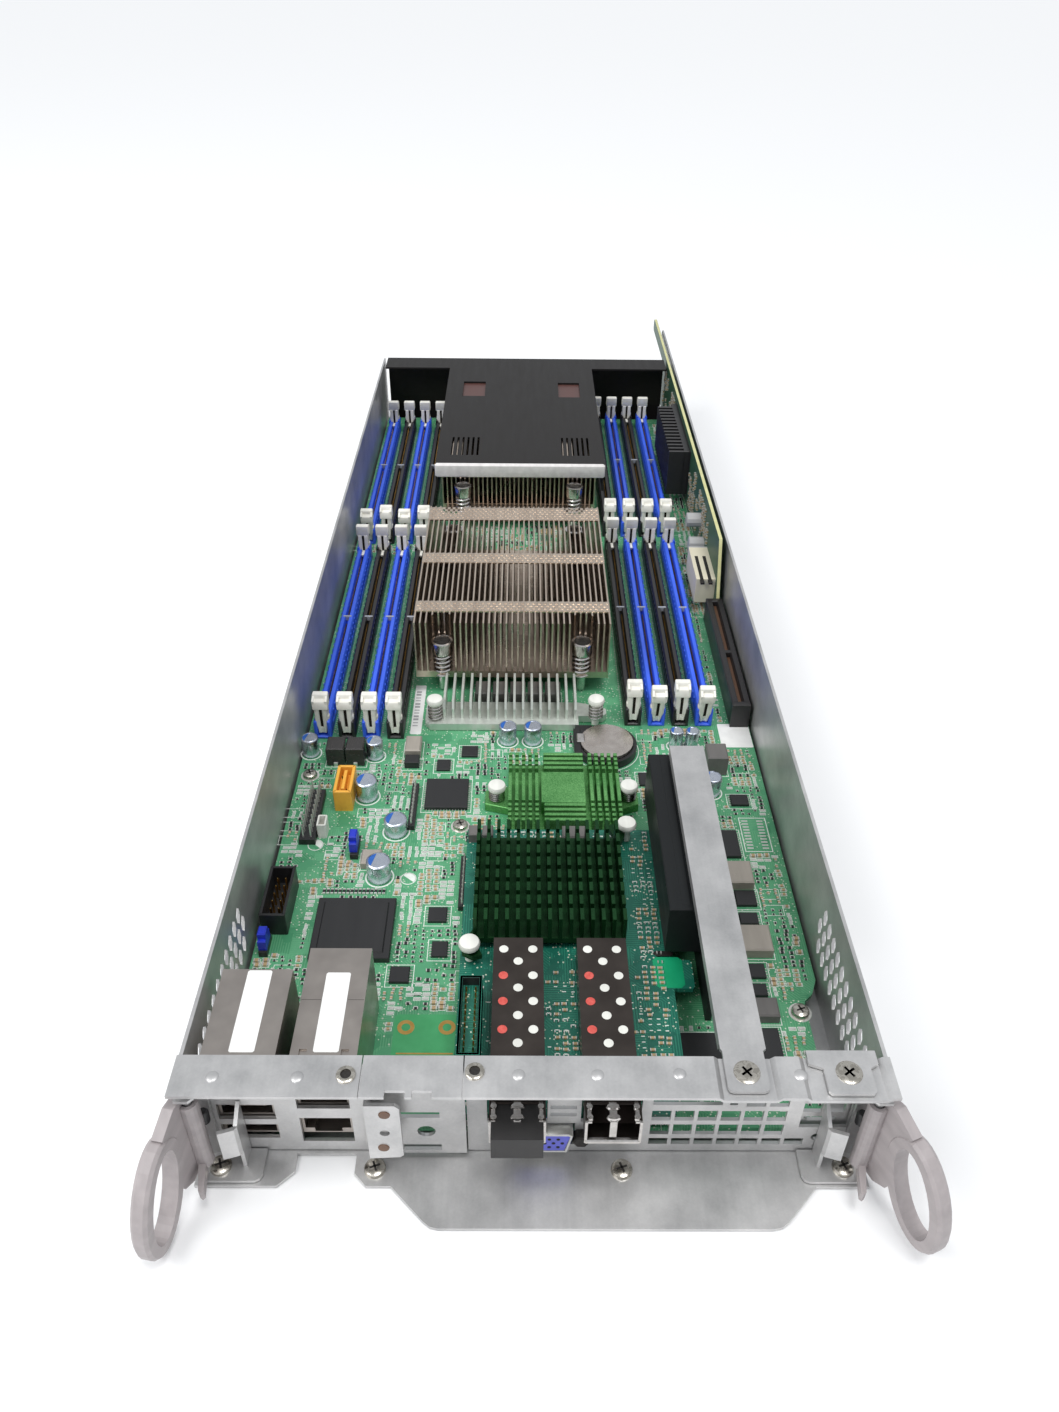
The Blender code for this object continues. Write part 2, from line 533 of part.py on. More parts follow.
# Release rings and their brackets.
def pull_ring(name, side, splay):
    """Leaning oval pull ring: hub round the vertical pin, cheek plate, ring band and inward tongue."""
    origin = (side * PIVOT_X, PIVOT_Y, 0.0)
    low, high = 0.6, 0.6 + RING_THICK
    reach, mid = RING_WIDE / 2 + 6.8, RING_HIGH / 2 + 1.2
    outer, inner = [[(-u, v) for u, v in ellipse(reach, mid, RING_WIDE / 2 - cut, RING_HIGH / 2 - cut, 32,
                                                 radians(RING_LEAN))] for cut in (0.0, RING_BAND)]
    section = [(0.0, low + RING_EDGE), (0.2, low), (1.0, low), (1.0, high), (0.2, high),
               (0.0, high - RING_EDGE)]
    ring = band(outer, inner, section, "YZ")
    cheek = plate("YZ", [(2.0, 5.0), (2.0, HUB_HIGH + 1.0), (-4.5, HUB_HIGH + 3.0), (-11.5, mid + 16.0),
                         (-10.4, mid + 12.1), (-8.4, mid + 6.6), (-8.4, mid + 1.6), (-10.3, mid - 5.4),
                         (-9.0, mid - 9.4), (-5.0, 5.0)], low + 0.3, high - 1.2)
    hub = plate("XY", disc(0.0, 0.0, HUB_RADIUS, 16), HUB_LOW, HUB_HIGH)
    tongue = plate("XY", [(-1.0, -1.5), (1.0, -1.5), (-0.8, -9.6), (-1.6, -10.2), (-2.2, -9.6)], 5.6, 9.0)
    bore = plate("XY", disc(0.0, 0.0, PIN_RADIUS + CLEAR, 16), 2.0, HUB_HIGH + 7.0)
    turn = Matrix.Rotation(radians(splay), 4, "Z")

    def placed(solid, rotate=True):
        verts, faces = solid
        out = []
        for x, y, z in verts:
            p = turn @ Vector((x, y, z)) if rotate else Vector((x, y, z))
            out.append((origin[0] + side * p.x, origin[1] + p.y, p.z))
        return out, faces
    adds = [placed(cheek), placed(hub, False), placed(tongue, False)]
    piece(name, RING_GREY, placed(ring), adds, [placed(bore, False)], origin)


def catch_bracket(name, side):
    """Folded bracket: base screwed to the lip, cheek with a bent-over front, back, top ear and the ring's pin."""
    def mirror(solid):
        verts, faces = solid
        return [(side * x, y, z) for x, y, z in verts], faces
    z0 = SHEET + CLEAR
    inner, outer, back = PIVOT_X - HUB_RADIUS - 0.2, INNER, PANEL_Y - CLEAR
    ear, edge = HUB_HIGH + 4.0, PIVOT_X - 14.5
    base = plate("XY", [(edge + 2.0, 0.6), (outer, 0.6), (outer, back), (edge, back), (edge, 2.6),
                        (edge + 0.6, 1.2)], z0, z0 + SHEET)
    upright = box(inner, back - SHEET, z0 + SHEET * 0.5, outer, back, ear)
    top = plate("XY", [(inner, back), (inner, 2.0), (inner + 1.2, 0.8), (outer, 0.8), (outer, back)],
                ear - SHEET * 0.5, ear + SHEET * 0.5)
    cheek_x, fold_z = PIVOT_X - 10.2, 21.0
    cheek = plate("YZ", [(4.6, z0 + SHEET * 0.5), (back, z0 + SHEET * 0.5), (back, fold_z + 3.0), (4.6, fold_z)],
                  cheek_x, cheek_x + SHEET)
    front = plate("XY", [(cheek_x, 4.4), (cheek_x + 0.6, 3.4), (cheek_x + 4.6, 2.2), (cheek_x + 5.0, 3.1),
                         (cheek_x + SHEET, 4.4), (cheek_x + SHEET, 5.6), (cheek_x, 5.6)], 9.5, fold_z)
    pin = plate("XY", disc(PIVOT_X, PIVOT_Y, PIN_RADIUS, 12), z0 + SHEET * 0.5, ear)
    piece(name, STEEL, mirror(base), [mirror(upright), mirror(top), mirror(cheek), mirror(front), mirror(pin)])


# Main board.
def all_sockets():
    """Name, x of the centre line and y of the front end of each memory socket."""
    out = []
    for bank, first, start in (("left", BANK_LEFT_X, BANK_FRONT_Y), ("right", BANK_RIGHT_X, BANK_RIGHT_Y)):
        for row, word in ((0, "front"), (1, "rear")):
            for i in range(SOCKETS_PER_BANK):
                out.append((f"{word}_{bank}_{i + 1}", first + i * SOCKET_PITCH, start + row * BANK_STEP_Y))
    return out


def memory_socket(x, y):
    """Slotted body between two end towers whose cleft holds the latch."""
    half, low, top = SOCKET_WIDTH / 2, BOARD_TOP - LAP, BOARD_TOP + SOCKET_HEIGHT
    slot, cleft, rim = SOCKET_SLOT / 2, LATCH_SHANK / 2 + CLEAR, SOCKET_HEIGHT - 0.6
    body = plate("XZ", [(x - half, low), (x + half, low), (x + half, BOARD_TOP + rim), (x + slot, BOARD_TOP + rim),
                        (x + slot, BOARD_TOP + 2.6), (x - slot, BOARD_TOP + 2.6), (x - slot, BOARD_TOP + rim),
                        (x - half, BOARD_TOP + rim)], y + TOWER_DEPTH - 0.1, y + SOCKET_LENGTH - TOWER_DEPTH + 0.1)
    tower = [(x - half, low), (x + half, low), (x + half, top), (x + cleft, top), (x + cleft, BOARD_TOP + 1.1),
             (x - cleft, BOARD_TOP + 1.1), (x - cleft, top), (x - half, top)]
    front = plate("XZ", tower, y, y + TOWER_DEPTH)
    back = plate("XZ", tower, y + SOCKET_LENGTH - TOWER_DEPTH, y + SOCKET_LENGTH)
    return [body, front, back]


def can(x, y, radius, height):
    return plate("XY", disc(x, y, radius, 12), BOARD_TOP - LAP, BOARD_TOP + height)


def chip(x0, y0, x1, y1, height):
    return box(x0, y0, BOARD_TOP - LAP, x1, y1, BOARD_TOP + height)


def header(x0, y0, x1, y1, height, wall=1.0, floor=5.6):
    """Shrouded header: an open box."""
    out = plate("XY", rect(x0, y0, x1, y1), BOARD_TOP - LAP, BOARD_TOP + height,
                [rect(x0 + wall, y0 + wall, x1 - wall, y1 - wall)])
    bottom = chip(x0 + wall * 0.5, y0 + wall * 0.5, x1 - wall * 0.5, y1 - wall * 0.5, floor)
    return [out, bottom]


def field_left():
    """Parts in front of the left sockets, placed from the board's left edge and the sockets' front ends."""
    x, y = -EDGE, BANK_FRONT_Y
    cans = [(3.0, -8.9, 3.2, 8.0), (27.4, -10.4, 3.2, 8.0), (27.0, -33.2, 3.9, 8.5), (39.1, -51.3, 4.0, 6.5),
            (35.6, -72.9, 4.0, 8.0)]
    blocks = [(10.0, -18.9, 17.0, -10.9, 6.5), (18.4, -18.9, 24.8, -10.9, 6.5), (38.6, -11.4, 44.6, -2.4, 4.0),
              (17.5, -108.9, 42.4, -84.1, 2.2), (17.4, -80.9, 38.6, -78.5, 1.0), (48.0, -40.1, 63.4, -24.5, 1.4),
              (6.4, -58.4, 12.0, -30.4, 3.0), (43.0, -50.9, 45.4, -26.9, 5.0), (12.0, -55.9, 16.0, -48.9, 5.5)]
    solids = [can(x + u, y + v, radius, height) for u, v, radius, height in cans]
    solids += [chip(x + u0, y + v0, x + u1, y + v1, height) for u0, v0, u1, v1, height in blocks]
    solids += header(x + 1.6, y - 104.9, x + 12.0, y - 76.9, 9.0)
    return solids + header(x + 15.5, y - 50.4, x + 24.0, y - 25.9, 9.0, 1.2)


def field_right():
    """Parts beside the riser, placed from the board's right and front edges, and those before the right sockets."""
    x, y = EDGE, BOARD_FRONT
    blocks = [(-20.9, 85.9, -12.0, 96.0, 3.8), (-21.3, 57.5, -10.7, 68.0, 3.8), (-21.5, 33.4, -13.9, 40.2, 3.5),
              (-19.4, 78.4, -12.7, 84.9, 1.2), (-19.4, 70.5, -13.5, 75.2, 1.2), (-19.7, 49.2, -14.9, 54.5, 1.2),
              (-20.9, 42.5, -15.6, 46.9, 1.2), (-21.9, 18.0, -15.0, 30.8, 1.4), (-21.1, 100.3, -14.4, 113.1, 1.4),
              (-13.8, 126.5, -7.5, 131.9, 1.2), (-48.5, 15.0, -32.0, 29.0, 1.6)]
    solids = [chip(x + u0, y + v0, x + u1, y + v1, height) for u0, v0, u1, v1, height in blocks]
    bank_x, bank_y = BANK_RIGHT_X, BANK_RIGHT_Y
    cans = [(15.3, -12.5, 2.6), (21.4, -12.5, 2.6), (25.4, -39.1, 3.4)]
    solids += [can(bank_x + u, bank_y + v, radius, 8.0) for u, v, radius in cans]
    solids.append(chip(bank_x + 25.7, bank_y - 28.0, bank_x + 33.1, bank_y - 20.0, 6.5))
    return solids


def field_middle():
    """Chokes and cans at the regulators, and headers at the network card."""
    solids = [chip(FRONT_SINK_X - 14.7 + 7.0 * i, VRM_Y0 + 16.1, FRONT_SINK_X - 8.6 + 7.0 * i, VRM_Y0 + 24.6, 6.4)
              for i in range(5)]
    solids += [can(FRONT_SINK_X + u, VRM_Y0 - 6.4, 3.4, 8.0) for u in (-1.4, 8.2)]
    solids.append(chip(CARD_X0 - 2.1, CARD_BACK - 30.0, CARD_X0 + 0.3, CARD_BACK - 7.0, 4.5))
    solids.append(chip(CAGE_LEFT_X + 18.1, CARD_BACK - 19.0, CAGE_LEFT_X + 24.1, CARD_BACK - 11.0, 3.0))
    return solids


def card_slot():
    """Long slot by the right wall, for the rear adapter card's feed."""
    x, y0, y1 = CARD_SLOT_X, SLOT_Y0, SLOT_Y0 + CARD_SLOT_LENGTH
    wing, mouth = CARD_SLOT_WIDTH / 2, CARD_SLOT_MOUTH / 2
    low, bed, top = BOARD_TOP - LAP, BOARD_TOP + 3.0, BOARD_TOP + CARD_SLOT_HEIGHT
    run = plate("XZ", [(x - wing, low), (x + wing, low), (x + wing, top), (x + mouth, top), (x + mouth, bed),
                       (x - mouth, bed), (x - mouth, top), (x - wing, top)], y0 + 2.0, y1 - 2.0)
    return [run, box(x - wing, y0, low, x + wing, y0 + 2.5, top), box(x - wing, y1 - 2.5, low, x + wing, y1, top)]


def cell_holder():
    ring = plate("XY", disc(CELL_X, CELL_Y, CELL_RADIUS + 1.5, 24), BOARD_TOP - LAP, BOARD_TOP + CELL_THICK + 0.2,
                 [disc(CELL_X, CELL_Y, CELL_RADIUS + CLEAR, 24)])
    return [ring, plate("XY", disc(CELL_X, CELL_Y, CELL_RADIUS + 0.9, 24), BOARD_TOP - LAP, BOARD_TOP + 1.2)]


def main_board():
    notch, shoulder = EDGE - BOARD_NOTCH, BOARD_SHOULDER_Y
    outline = [(-EDGE, BOARD_FRONT), (notch, BOARD_FRONT), (notch, shoulder - 6.0), (EDGE - 2.0, shoulder - 3.0),
               (EDGE, shoulder + 2.0), (EDGE, BOARD_BACK), (-EDGE, BOARD_BACK)]
    board = plate("XY", outline, BOARD_TOP - BOARD_THICK, BOARD_TOP, [disc(x, y, 1.7, 10) for x, y in BOARD_HOLES])
    adds = [solid for _, x, y in all_sockets() for solid in memory_socket(x, y)]
    adds += field_left() + field_right() + field_middle() + card_slot() + cell_holder()
    piece("main_board", BOARD_GREEN, board, adds)


def coin_cell():
    low = BOARD_TOP + 1.2 + CLEAR
    can_body = plate("XY", disc(CELL_X, CELL_Y, CELL_RADIUS, 24), low, low + CELL_THICK)
    step = plate("XY", disc(CELL_X, CELL_Y, CELL_RADIUS - 1.6, 24), low - 0.2, low + 1.0)
    piece("coin_cell", CELL_STEEL, can_body, [step])


def latch(name, x, y, sign, tilt):
    """Forked latch: a shank on the pivot and a wide top whose slit takes the module's edge."""
    pivot = (x, y + sign * LATCH_PIVOT_Y, BOARD_TOP + LATCH_PIVOT_Z)
    top, fork = BOARD_TOP + LATCH_TOP, BOARD_TOP + SOCKET_HEIGHT + 1.5
    half, shank, slit = LATCH_CAP / 2, LATCH_SHANK / 2, 0.9

    def span(a, b):
        return (min(y + sign * a, y + sign * b), max(y + sign * a, y + sign * b))
    y0, y1 = span(LATCH_SET, LATCH_SET + LATCH_DEPTH)
    head = plate("XZ", [(x - half, fork), (x - half, top - 0.8), (x - half + 0.8, top), (x + half - 0.8, top),
                        (x + half, top - 0.8), (x + half, fork), (x + slit, fork), (x + slit, top - 2.8),
                        (x - slit, top - 2.8), (x - slit, fork)], y0, y1)
    s0, s1 = span(LATCH_PIVOT_Y - 2.7, LATCH_PIVOT_Y + 1.6)
    leg = box(x - shank, s0, BOARD_TOP + 2.4, x + shank, s1, fork + 0.8)
    obj = piece(name, LATCH_CREAM, head, [leg], (), pivot)
    if tilt:
        angle = Matrix.Rotation(radians(tilt) * sign, 4, 'X')
        for part in (obj, bpy.data.objects[name + "_adds"]):
            part.matrix_world = Matrix.Translation(Vector(pivot) * MM) @ angle


OPEN_LATCHES = ("front_right_2_front", "front_right_4_front", "rear_left_1_front", "rear_left_3_front")


def latches():
    for label, x, y in all_sockets():
        front = label + "_front"
        latch("latch_" + front, x, y, 1.0, LATCH_OPEN if front in OPEN_LATCHES else 0.0)
        latch("latch_" + label + "_rear", x, y + SOCKET_LENGTH, -1.0, 0.0)


# Heatsinks.
def comb(x0, x1, count, thick, low, base_top, top):
    """Fin comb as one outline in XZ: a base with upright fins."""
    pitch = (x1 - x0 - thick) / (count - 1)
    points = [(x0, low), (x1, low)]
    for i in reversed(range(count)):
        left = x0 + i * pitch
        points += [(left + thick, base_top)] if i < count - 1 else []
        points += [(left + thick, top), (left, top)]
        points += [(left, base_top)] if i > 0 else []
    return points


def cpu_heatsink(name, cx, y0, top, setback):
    """Base plate under thin folded fins that crimped strips tie together; pockets let the screws through."""
    x0, x1 = cx - CPU_SINK_WIDTH / 2, cx + CPU_SINK_WIDTH / 2
    low = BOARD_TOP + CPU_HEIGHT
    base_top = low + CPU_SINK_BASE
    y1 = y0 + CPU_SINK_LENGTH
    mid_y = (y0 + y1) / 2
    count = round((CPU_SINK_WIDTH - FIN_THICK) / FIN_PITCH) + 1
    fins = plate("XZ", comb(x0, x1, count, FIN_THICK, low, base_top, top), y0 + setback, y1)
    adds = [box(cx - CPU_HALF, mid_y - CPU_HALF, BOARD_TOP + CLEAR, cx + CPU_HALF, mid_y + CPU_HALF, low + LAP)]
    folds = [(y1 - FOLD_REAR[0], y1 - FOLD_REAR[1])]
    if not setback:
        folds += [(y0 + FOLD_FRONT[0], y0 + FOLD_FRONT[1]), (mid_y + FOLD_MIDDLE[0], mid_y + FOLD_MIDDLE[1])]
    adds += [box(x0 - 0.1, start, top - 0.5, x1 + 0.1, end, top + 0.1) for start, end in folds]
    if setback:
        adds.append(box(x0 + 2.0, y0, low + 0.1, x1 - 2.0, y0 + setback + 2.0, base_top - 0.1))
    cuts = []
    for x in (x0 + SCREW_EDGE_X, x1 - SCREW_EDGE_X):
        for y in (y0 + SCREW_EDGE_Y, y1 - SCREW_EDGE_Y):
            if y > y0 + setback:
                cuts.append(plate("XY", disc(x, y, SCREW_POCKET, 12), base_top - 0.01, top + 1.0))
    piece(name, FIN_METAL, fins, adds, cuts)


VRM_FINS = 16
VRM_FIN_PITCH = 3.4
VRM_FIN_TOP = 18.2


def vrm_heatsink():
    """Flat base over the regulators; its fins reach back over the row of chokes."""
    low, x0, y0, y1 = BOARD_TOP + CLEAR, FRONT_SINK_X - 33.7, VRM_Y0, VRM_Y0 + VRM_DEPTH
    base_end, ear_end = FRONT_SINK_X + 26.1, FRONT_SINK_X + 37.3
    base = plate("XY", [(x0 + 2.0, y0), (base_end, y0), (base_end, y0 + 5.6), (ear_end - 1.6, y0 + 5.6),
                        (ear_end, y0 + 7.4), (ear_end, y0 + 10.0), (ear_end - 1.6, y0 + 11.6), (base_end, y1),
                        (x0 + 2.0, y1), (x0, y1 - 3.0), (x0, y0 + 3.0)], low, low + 3.0)
    side = [(y0 + 3.4, low + 2.6), (y1, low + 2.6), (y1 + 0.8, BOARD_TOP + 7.2), (y0 + VRM_REACH, BOARD_TOP + 7.2),
            (y0 + VRM_REACH, VRM_FIN_TOP), (y0 + 5.0, VRM_FIN_TOP), (y0 + 3.4, VRM_FIN_TOP - 3.0)]
    first = FRONT_SINK_X - 26.6
    fins = [plate("YZ", side, first + VRM_FIN_PITCH * i, first + VRM_FIN_PITCH * i + 0.9) for i in range(VRM_FINS)]
    piece("vrm_heatsink", GREY_METAL, base, fins)


def chipset_heatsink():
    """Low heatsink: blades in four rows round a flat middle, and two ears for the push pins."""
    low, x0, y0 = BOARD_TOP + CLEAR, CAGE_LEFT_X - 3.9, CHIP_SINK_Y0
    x1, y1, mid_y = x0 + CHIP_SINK_WIDTH, y0 + CHIP_SINK_LENGTH, y0 + CHIP_SINK_LENGTH / 2
    ear, narrow, wide = 8.3, 3.4, 5.8
    right = [(x1, y0), (x1, mid_y - wide), (x1 + ear, mid_y - narrow), (x1 + ear, mid_y + narrow), (x1, mid_y + wide),
             (x1, y1)]
    left = [(x0, y1), (x0, mid_y + wide), (x0 - ear, mid_y + narrow), (x0 - ear, mid_y - narrow), (x0, mid_y - wide),
            (x0, y0)]
    base = plate("XY", right + left, low, low + 3.2)
    blade, rows, columns = CHIP_SINK_LENGTH / 5, 4, 8
    step_x, step_y = (CHIP_SINK_WIDTH - 2.7) / (columns - 1), (CHIP_SINK_LENGTH - blade) / (rows - 1)
    posts = [box(x0 + 11.0, mid_y - 8.0, low + 2.8, x1 - 11.0, mid_y + 8.0, low + 9.0)]
    for i in range(columns):
        for j in range(rows):
            if 2 <= i < columns - 2 and 1 <= j < rows - 1:
                continue
            x, y = x0 + i * step_x, y0 + j * step_y
            posts.append(box(x + 0.02, y + 0.02, low + 2.8, x + 2.68, y + blade - 0.02, low + 9.4))
    piece("chipset_heatsink", SINK_GREEN, base, posts)


# Network card.
def network_card():
    """Small board on spacers, with its chip, a box header and the bright tongue beside the riser."""
    low, front = CARD_TOP - CARD_THICK, PANEL_Y + SHEET + 1.0
    tab0, tab1 = CAGE_BACK - 10.6, CAGE_BACK
    tongue = [(CARD_X1, tab0), (CARD_X1 + 5.6, tab0), (CARD_X1 + 6.2, tab0 + 0.8), (CARD_X1 + 6.2, tab1 - 0.8),
              (CARD_X1 + 5.6, tab1), (CARD_X1 - 3.4, tab1), (CARD_X1 - 4.2, tab1 + 1.0),
              (CARD_X1 - 3.4, tab1 + 2.0), (CARD_X1, tab1 + 2.0)]
    outline = [(CARD_X0, front), (CARD_X1 - 3.8, front), (CARD_X1, front + 18.0)] + tongue
    outline += [(CARD_X1, CARD_BACK), (CARD_X0, CARD_BACK)]
    card = plate("XY", outline, low, CARD_TOP)
    adds = [box(CAGE_LEFT_X - 7.9, CARD_BACK - 20.5, BOARD_TOP + CLEAR,
                CAGE_LEFT_X + 14.1, CARD_BACK - 13.5, low + LAP)]
    spacers = [(CARD_X0 + 3.5, front + 8.0), (CARD_X0 + 3.5, CARD_BACK - 5.0), (CARD_X1 - 4.9, CARD_BACK - 5.0)]
    for x, y in spacers:
        adds.append(plate("XY", disc(x, y, 2.6, 10), BOARD_TOP + CLEAR, low + LAP))
    hx, hy, wall = CARD_X0 + 0.9, front + 11.6, 0.8
    outer = rect(hx, hy, hx + 6.4, hy + 26.4)
    inner = rect(hx + wall, hy + wall, hx + 6.4 - wall, hy + 26.4 - wall)
    adds.append(plate("XY", outer, CARD_TOP - LAP, CARD_TOP + 9.0, [inner]))
    adds.append(box(hx + 0.2, hy + 0.2, CARD_TOP - LAP, hx + 6.2, hy + 26.2, CARD_TOP + 5.6))
    cx, cy = (NET_SINK_X0 + NET_SINK_X1) / 2, (NET_SINK_Y0 + NET_SINK_Y1) / 2
    adds.append(box(cx - 13.0, cy - 13.0, CARD_TOP - LAP, cx + 13.0, cy + 13.0, CARD_TOP + CARD_CHIP))
    piece("network_card", CARD_TEAL, card, adds)


def network_heatsink():
    """Pin-fin heatsink: a comb of fins with cross grooves, and two ears for the push pins."""
    x0, x1, y0, y1 = NET_SINK_X0, NET_SINK_X1, NET_SINK_Y0, NET_SINK_Y1
    low = CARD_TOP + CARD_CHIP + CLEAR
    base_top, top = low + 2.0, low + 10.4
    fins = plate("XZ", comb(x0, x1, 15, 1.1, low, base_top, top), y0, y1)

    def ear(cx, cy, way):
        points = [(0.5, -0.5), (6.0, 1.0), (2.0, 8.0), (-2.8, -1.2), (-3.2, -5.2), (0.0, -7.0), (2.8, -6.2)]
        return plate("XY", [(cx + way * u, cy + way * v) for u, v in points], low + 0.1, base_top - 0.1)
    rows = 8
    pitch = (y1 - y0) / rows
    grooves = [box(x0 - 1.0, y0 + pitch * i - 0.9, base_top + 0.3, x1 + 1.0, y0 + pitch * i + 0.9, top + 1.0)
               for i in range(1, rows)]
    piece("network_heatsink", SINK_DARK, fins, [ear(x0, y0, 1.0), ear(x1, y1, -1.0)], grooves)


def sfp_cage(name, cx):
    """Open sheet cage with its rear wall and rows of holes in the roof."""
    wall = CAGE_SHEET
    x0, x1, low = cx - CAGE_WIDTH / 2, cx + CAGE_WIDTH / 2, CAGE_BOTTOM + 0.01
    tube = plate("XZ", rect(x0, low, x1, CAGE_TOP), CAGE_FRONT, CAGE_BACK,
                 [rect(x0 + wall, low + wall, x1 - wall, CAGE_TOP - wall)])
    rear = box(x0 + 0.2, CAGE_BACK - wall, low + 0.2, x1 - 0.2, CAGE_BACK - 0.01, CAGE_TOP - 0.2)
    cuts = []
    for i in range(4):
        y = CAGE_BACK - 9.4 - 9.6 * i
        for x, step in ((cx - 4.2, 0.0), (cx + 4.2, 0.0), (cx, -4.8)):
            cuts.append(plate("XY", disc(x, y + step, 1.1, 8), CAGE_TOP - 2.0, CAGE_TOP + 1.0))
    for gap in (cx - 3.4, cx + 3.4):
        cuts.append(box(gap - 1.9, CAGE_FRONT - 1.0, CAGE_TOP - 2.0, gap + 1.9, CAGE_FRONT + 5.0, CAGE_TOP + 1.0))
    piece(name, BRIGHT_STEEL, tube, [rear], cuts)


def sfp_dust_plug():
    wall = CAGE_SHEET + CLEAR
    x0, x1 = CAGE_LEFT_X - CAGE_WIDTH / 2 + wall, CAGE_LEFT_X + CAGE_WIDTH / 2 - wall
    low, top, front = CAGE_BOTTOM + wall, CAGE_TOP - wall, CAGE_FRONT - CLEAR
    insert = box(x0, CAGE_FRONT - 3.5, low, x1, CAGE_FRONT + PLUG_INSERT, top)
    cap = box(x0 - 0.2, CAGE_FRONT - 5.0, low, x1 + 0.2, front, top + 0.4)
    piece("sfp_dust_plug", BLACK_PLASTIC, insert, [cap], (), (CAGE_LEFT_X, front, (low + top) / 2))


# Ports.
def usb_lan_ports():
    """Combined stack: two flat ports below and a network jack above, in one folded shield."""
    x0, x1, y0, top = STACK_X0, STACK_X1, PANEL_Y + SHEET + CLEAR, STACK_TOP
    y1 = y0 + STACK_DEPTH
    body = box(x0, y0, BOARD_TOP + CLEAR, x1, y1, top)
    cuts = [box(x0 + 3.2, y0 - 1.0, BOARD_TOP + 0.9, x1 - 2.6, y0 + 14.0, BOARD_TOP + 5.3),
            box(x0 + 3.2, y0 - 1.0, BOARD_TOP + 9.1, x1 - 2.6, y0 + 14.0, BOARD_TOP + 13.9),
            box(x0 + 3.6, y0 - 1.0, BOARD_TOP + 18.5, x1 - 3.0, y0 + 16.0, top - 1.7)]
    tongues = [box(x0 + 5.0, y0 + 1.0, BOARD_TOP + rise, x1 - 4.4, y0 + 14.5, BOARD_TOP + rise + 1.3)
               for rise in (2.3, 10.8)]
    nose = box(x0 + 2.0, y0 + 0.1, BOARD_TOP + 0.4, x1 - 1.2, y0 + 0.2, top - 1.0)
    piece("usb_lan_ports", SHIELD, body, [nose], cuts, inserts=tongues)


def lan_ports():
    """Two network jacks, the lower one with its key down and the upper one with its key up."""
    x0, x1, y0, top = LAN_X0, LAN_X1, PANEL_Y + SHEET + CLEAR, STACK_TOP - LAN_DROP
    y1 = y0 + LAN_DEPTH
    body = box(x0, y0, BOARD_TOP + CLEAR, x1, y1, top)
    a, b, c, d = x0 + 2.4, x0 + 4.8, x1 - 5.2, x1 - 2.8
    low, high = BOARD_TOP + 0.7, top - 4.1
    lower = plate("XZ", [(b, low), (c, low), (c, low + 1.6), (d, low + 1.6), (d, low + 8.0), (a, low + 8.0),
                         (a, low + 1.6), (b, low + 1.6)], y0 - 1.0, y0 + 16.0)
    upper = plate("XZ", [(a, high - 8.2), (d, high - 8.2), (d, high - 1.6), (c, high - 1.6), (c, high), (b, high),
                         (b, high - 1.6), (a, high - 1.6)], y0 - 1.0, y0 + 16.0)
    clips = [box(x, y0 - 0.1, top - 0.6, x + 2.0, y0 + 7.4, top + 1.0) for x in (x0 + 2.2, x1 - 4.2)]
    piece("lan_ports", SHIELD, body, (), [lower, upper] + clips)


def vga_port():
    """Video port: D-shaped shell through the panel, body behind it."""
    y0 = PANEL_Y + SHEET + CLEAR

    def trapeze(top_half, bottom_half, rise):
        return [(VIDEO_X - top_half, VIDEO_Z + rise - 0.9), (VIDEO_X - bottom_half, VIDEO_Z - rise),
                (VIDEO_X + bottom_half, VIDEO_Z - rise), (VIDEO_X + top_half, VIDEO_Z + rise - 0.9),
                (VIDEO_X + top_half - 0.9, VIDEO_Z + rise), (VIDEO_X - top_half + 0.9, VIDEO_Z + rise)]
    body = box(VIDEO_X - 8.0, y0, BOARD_TOP + CLEAR, VIDEO_X + 8.0, y0 + 9.0, CARD_TOP - CARD_THICK - CLEAR)
    nose = plate("XZ", trapeze(8.2, 6.8, 4.1), 7.2, y0 + 1.0, [trapeze(7.4, 6.3, 3.5)])
    core = plate("XZ", trapeze(6.7, 5.8, 2.8), 7.9, y0 + 1.5)
    piece("vga_port", VIDEO_BLUE, nose, [body, core])


# Riser.
def riser_card():
    """Upright riser board with its long card socket on the left face."""
    x0, x1, y0, y1 = RISER_X, RISER_X + RISER_THICK, RISER_Y0, RISER_Y1
    foot, step = BOARD_TOP + CLEAR, BOARD_TOP + 4.7
    card = plate("YZ", [(y0, step), (y0 + 8.0, step), (y0 + 8.0, foot), (y1 - 12.0, foot), (y1 - 12.0, step),
                        (y1, step), (y1, RISER_TOP), (y0, RISER_TOP)], x0, x1)
    low = CARD_TOP + 2.6
    socket = box(x0 - RISER_SOCKET, y0 + 0.8, low, x0 + LAP, y1 - 0.6, RISER_TOP - 2.4)
    mouth = box(x0 - RISER_SOCKET - 1.8, y0 + 4.0, low + 7.0, x0 - 5.6, y1 - 4.0, low + 9.4)
    piece("riser_card", BLACK_PLASTIC, card, [socket], [mouth])


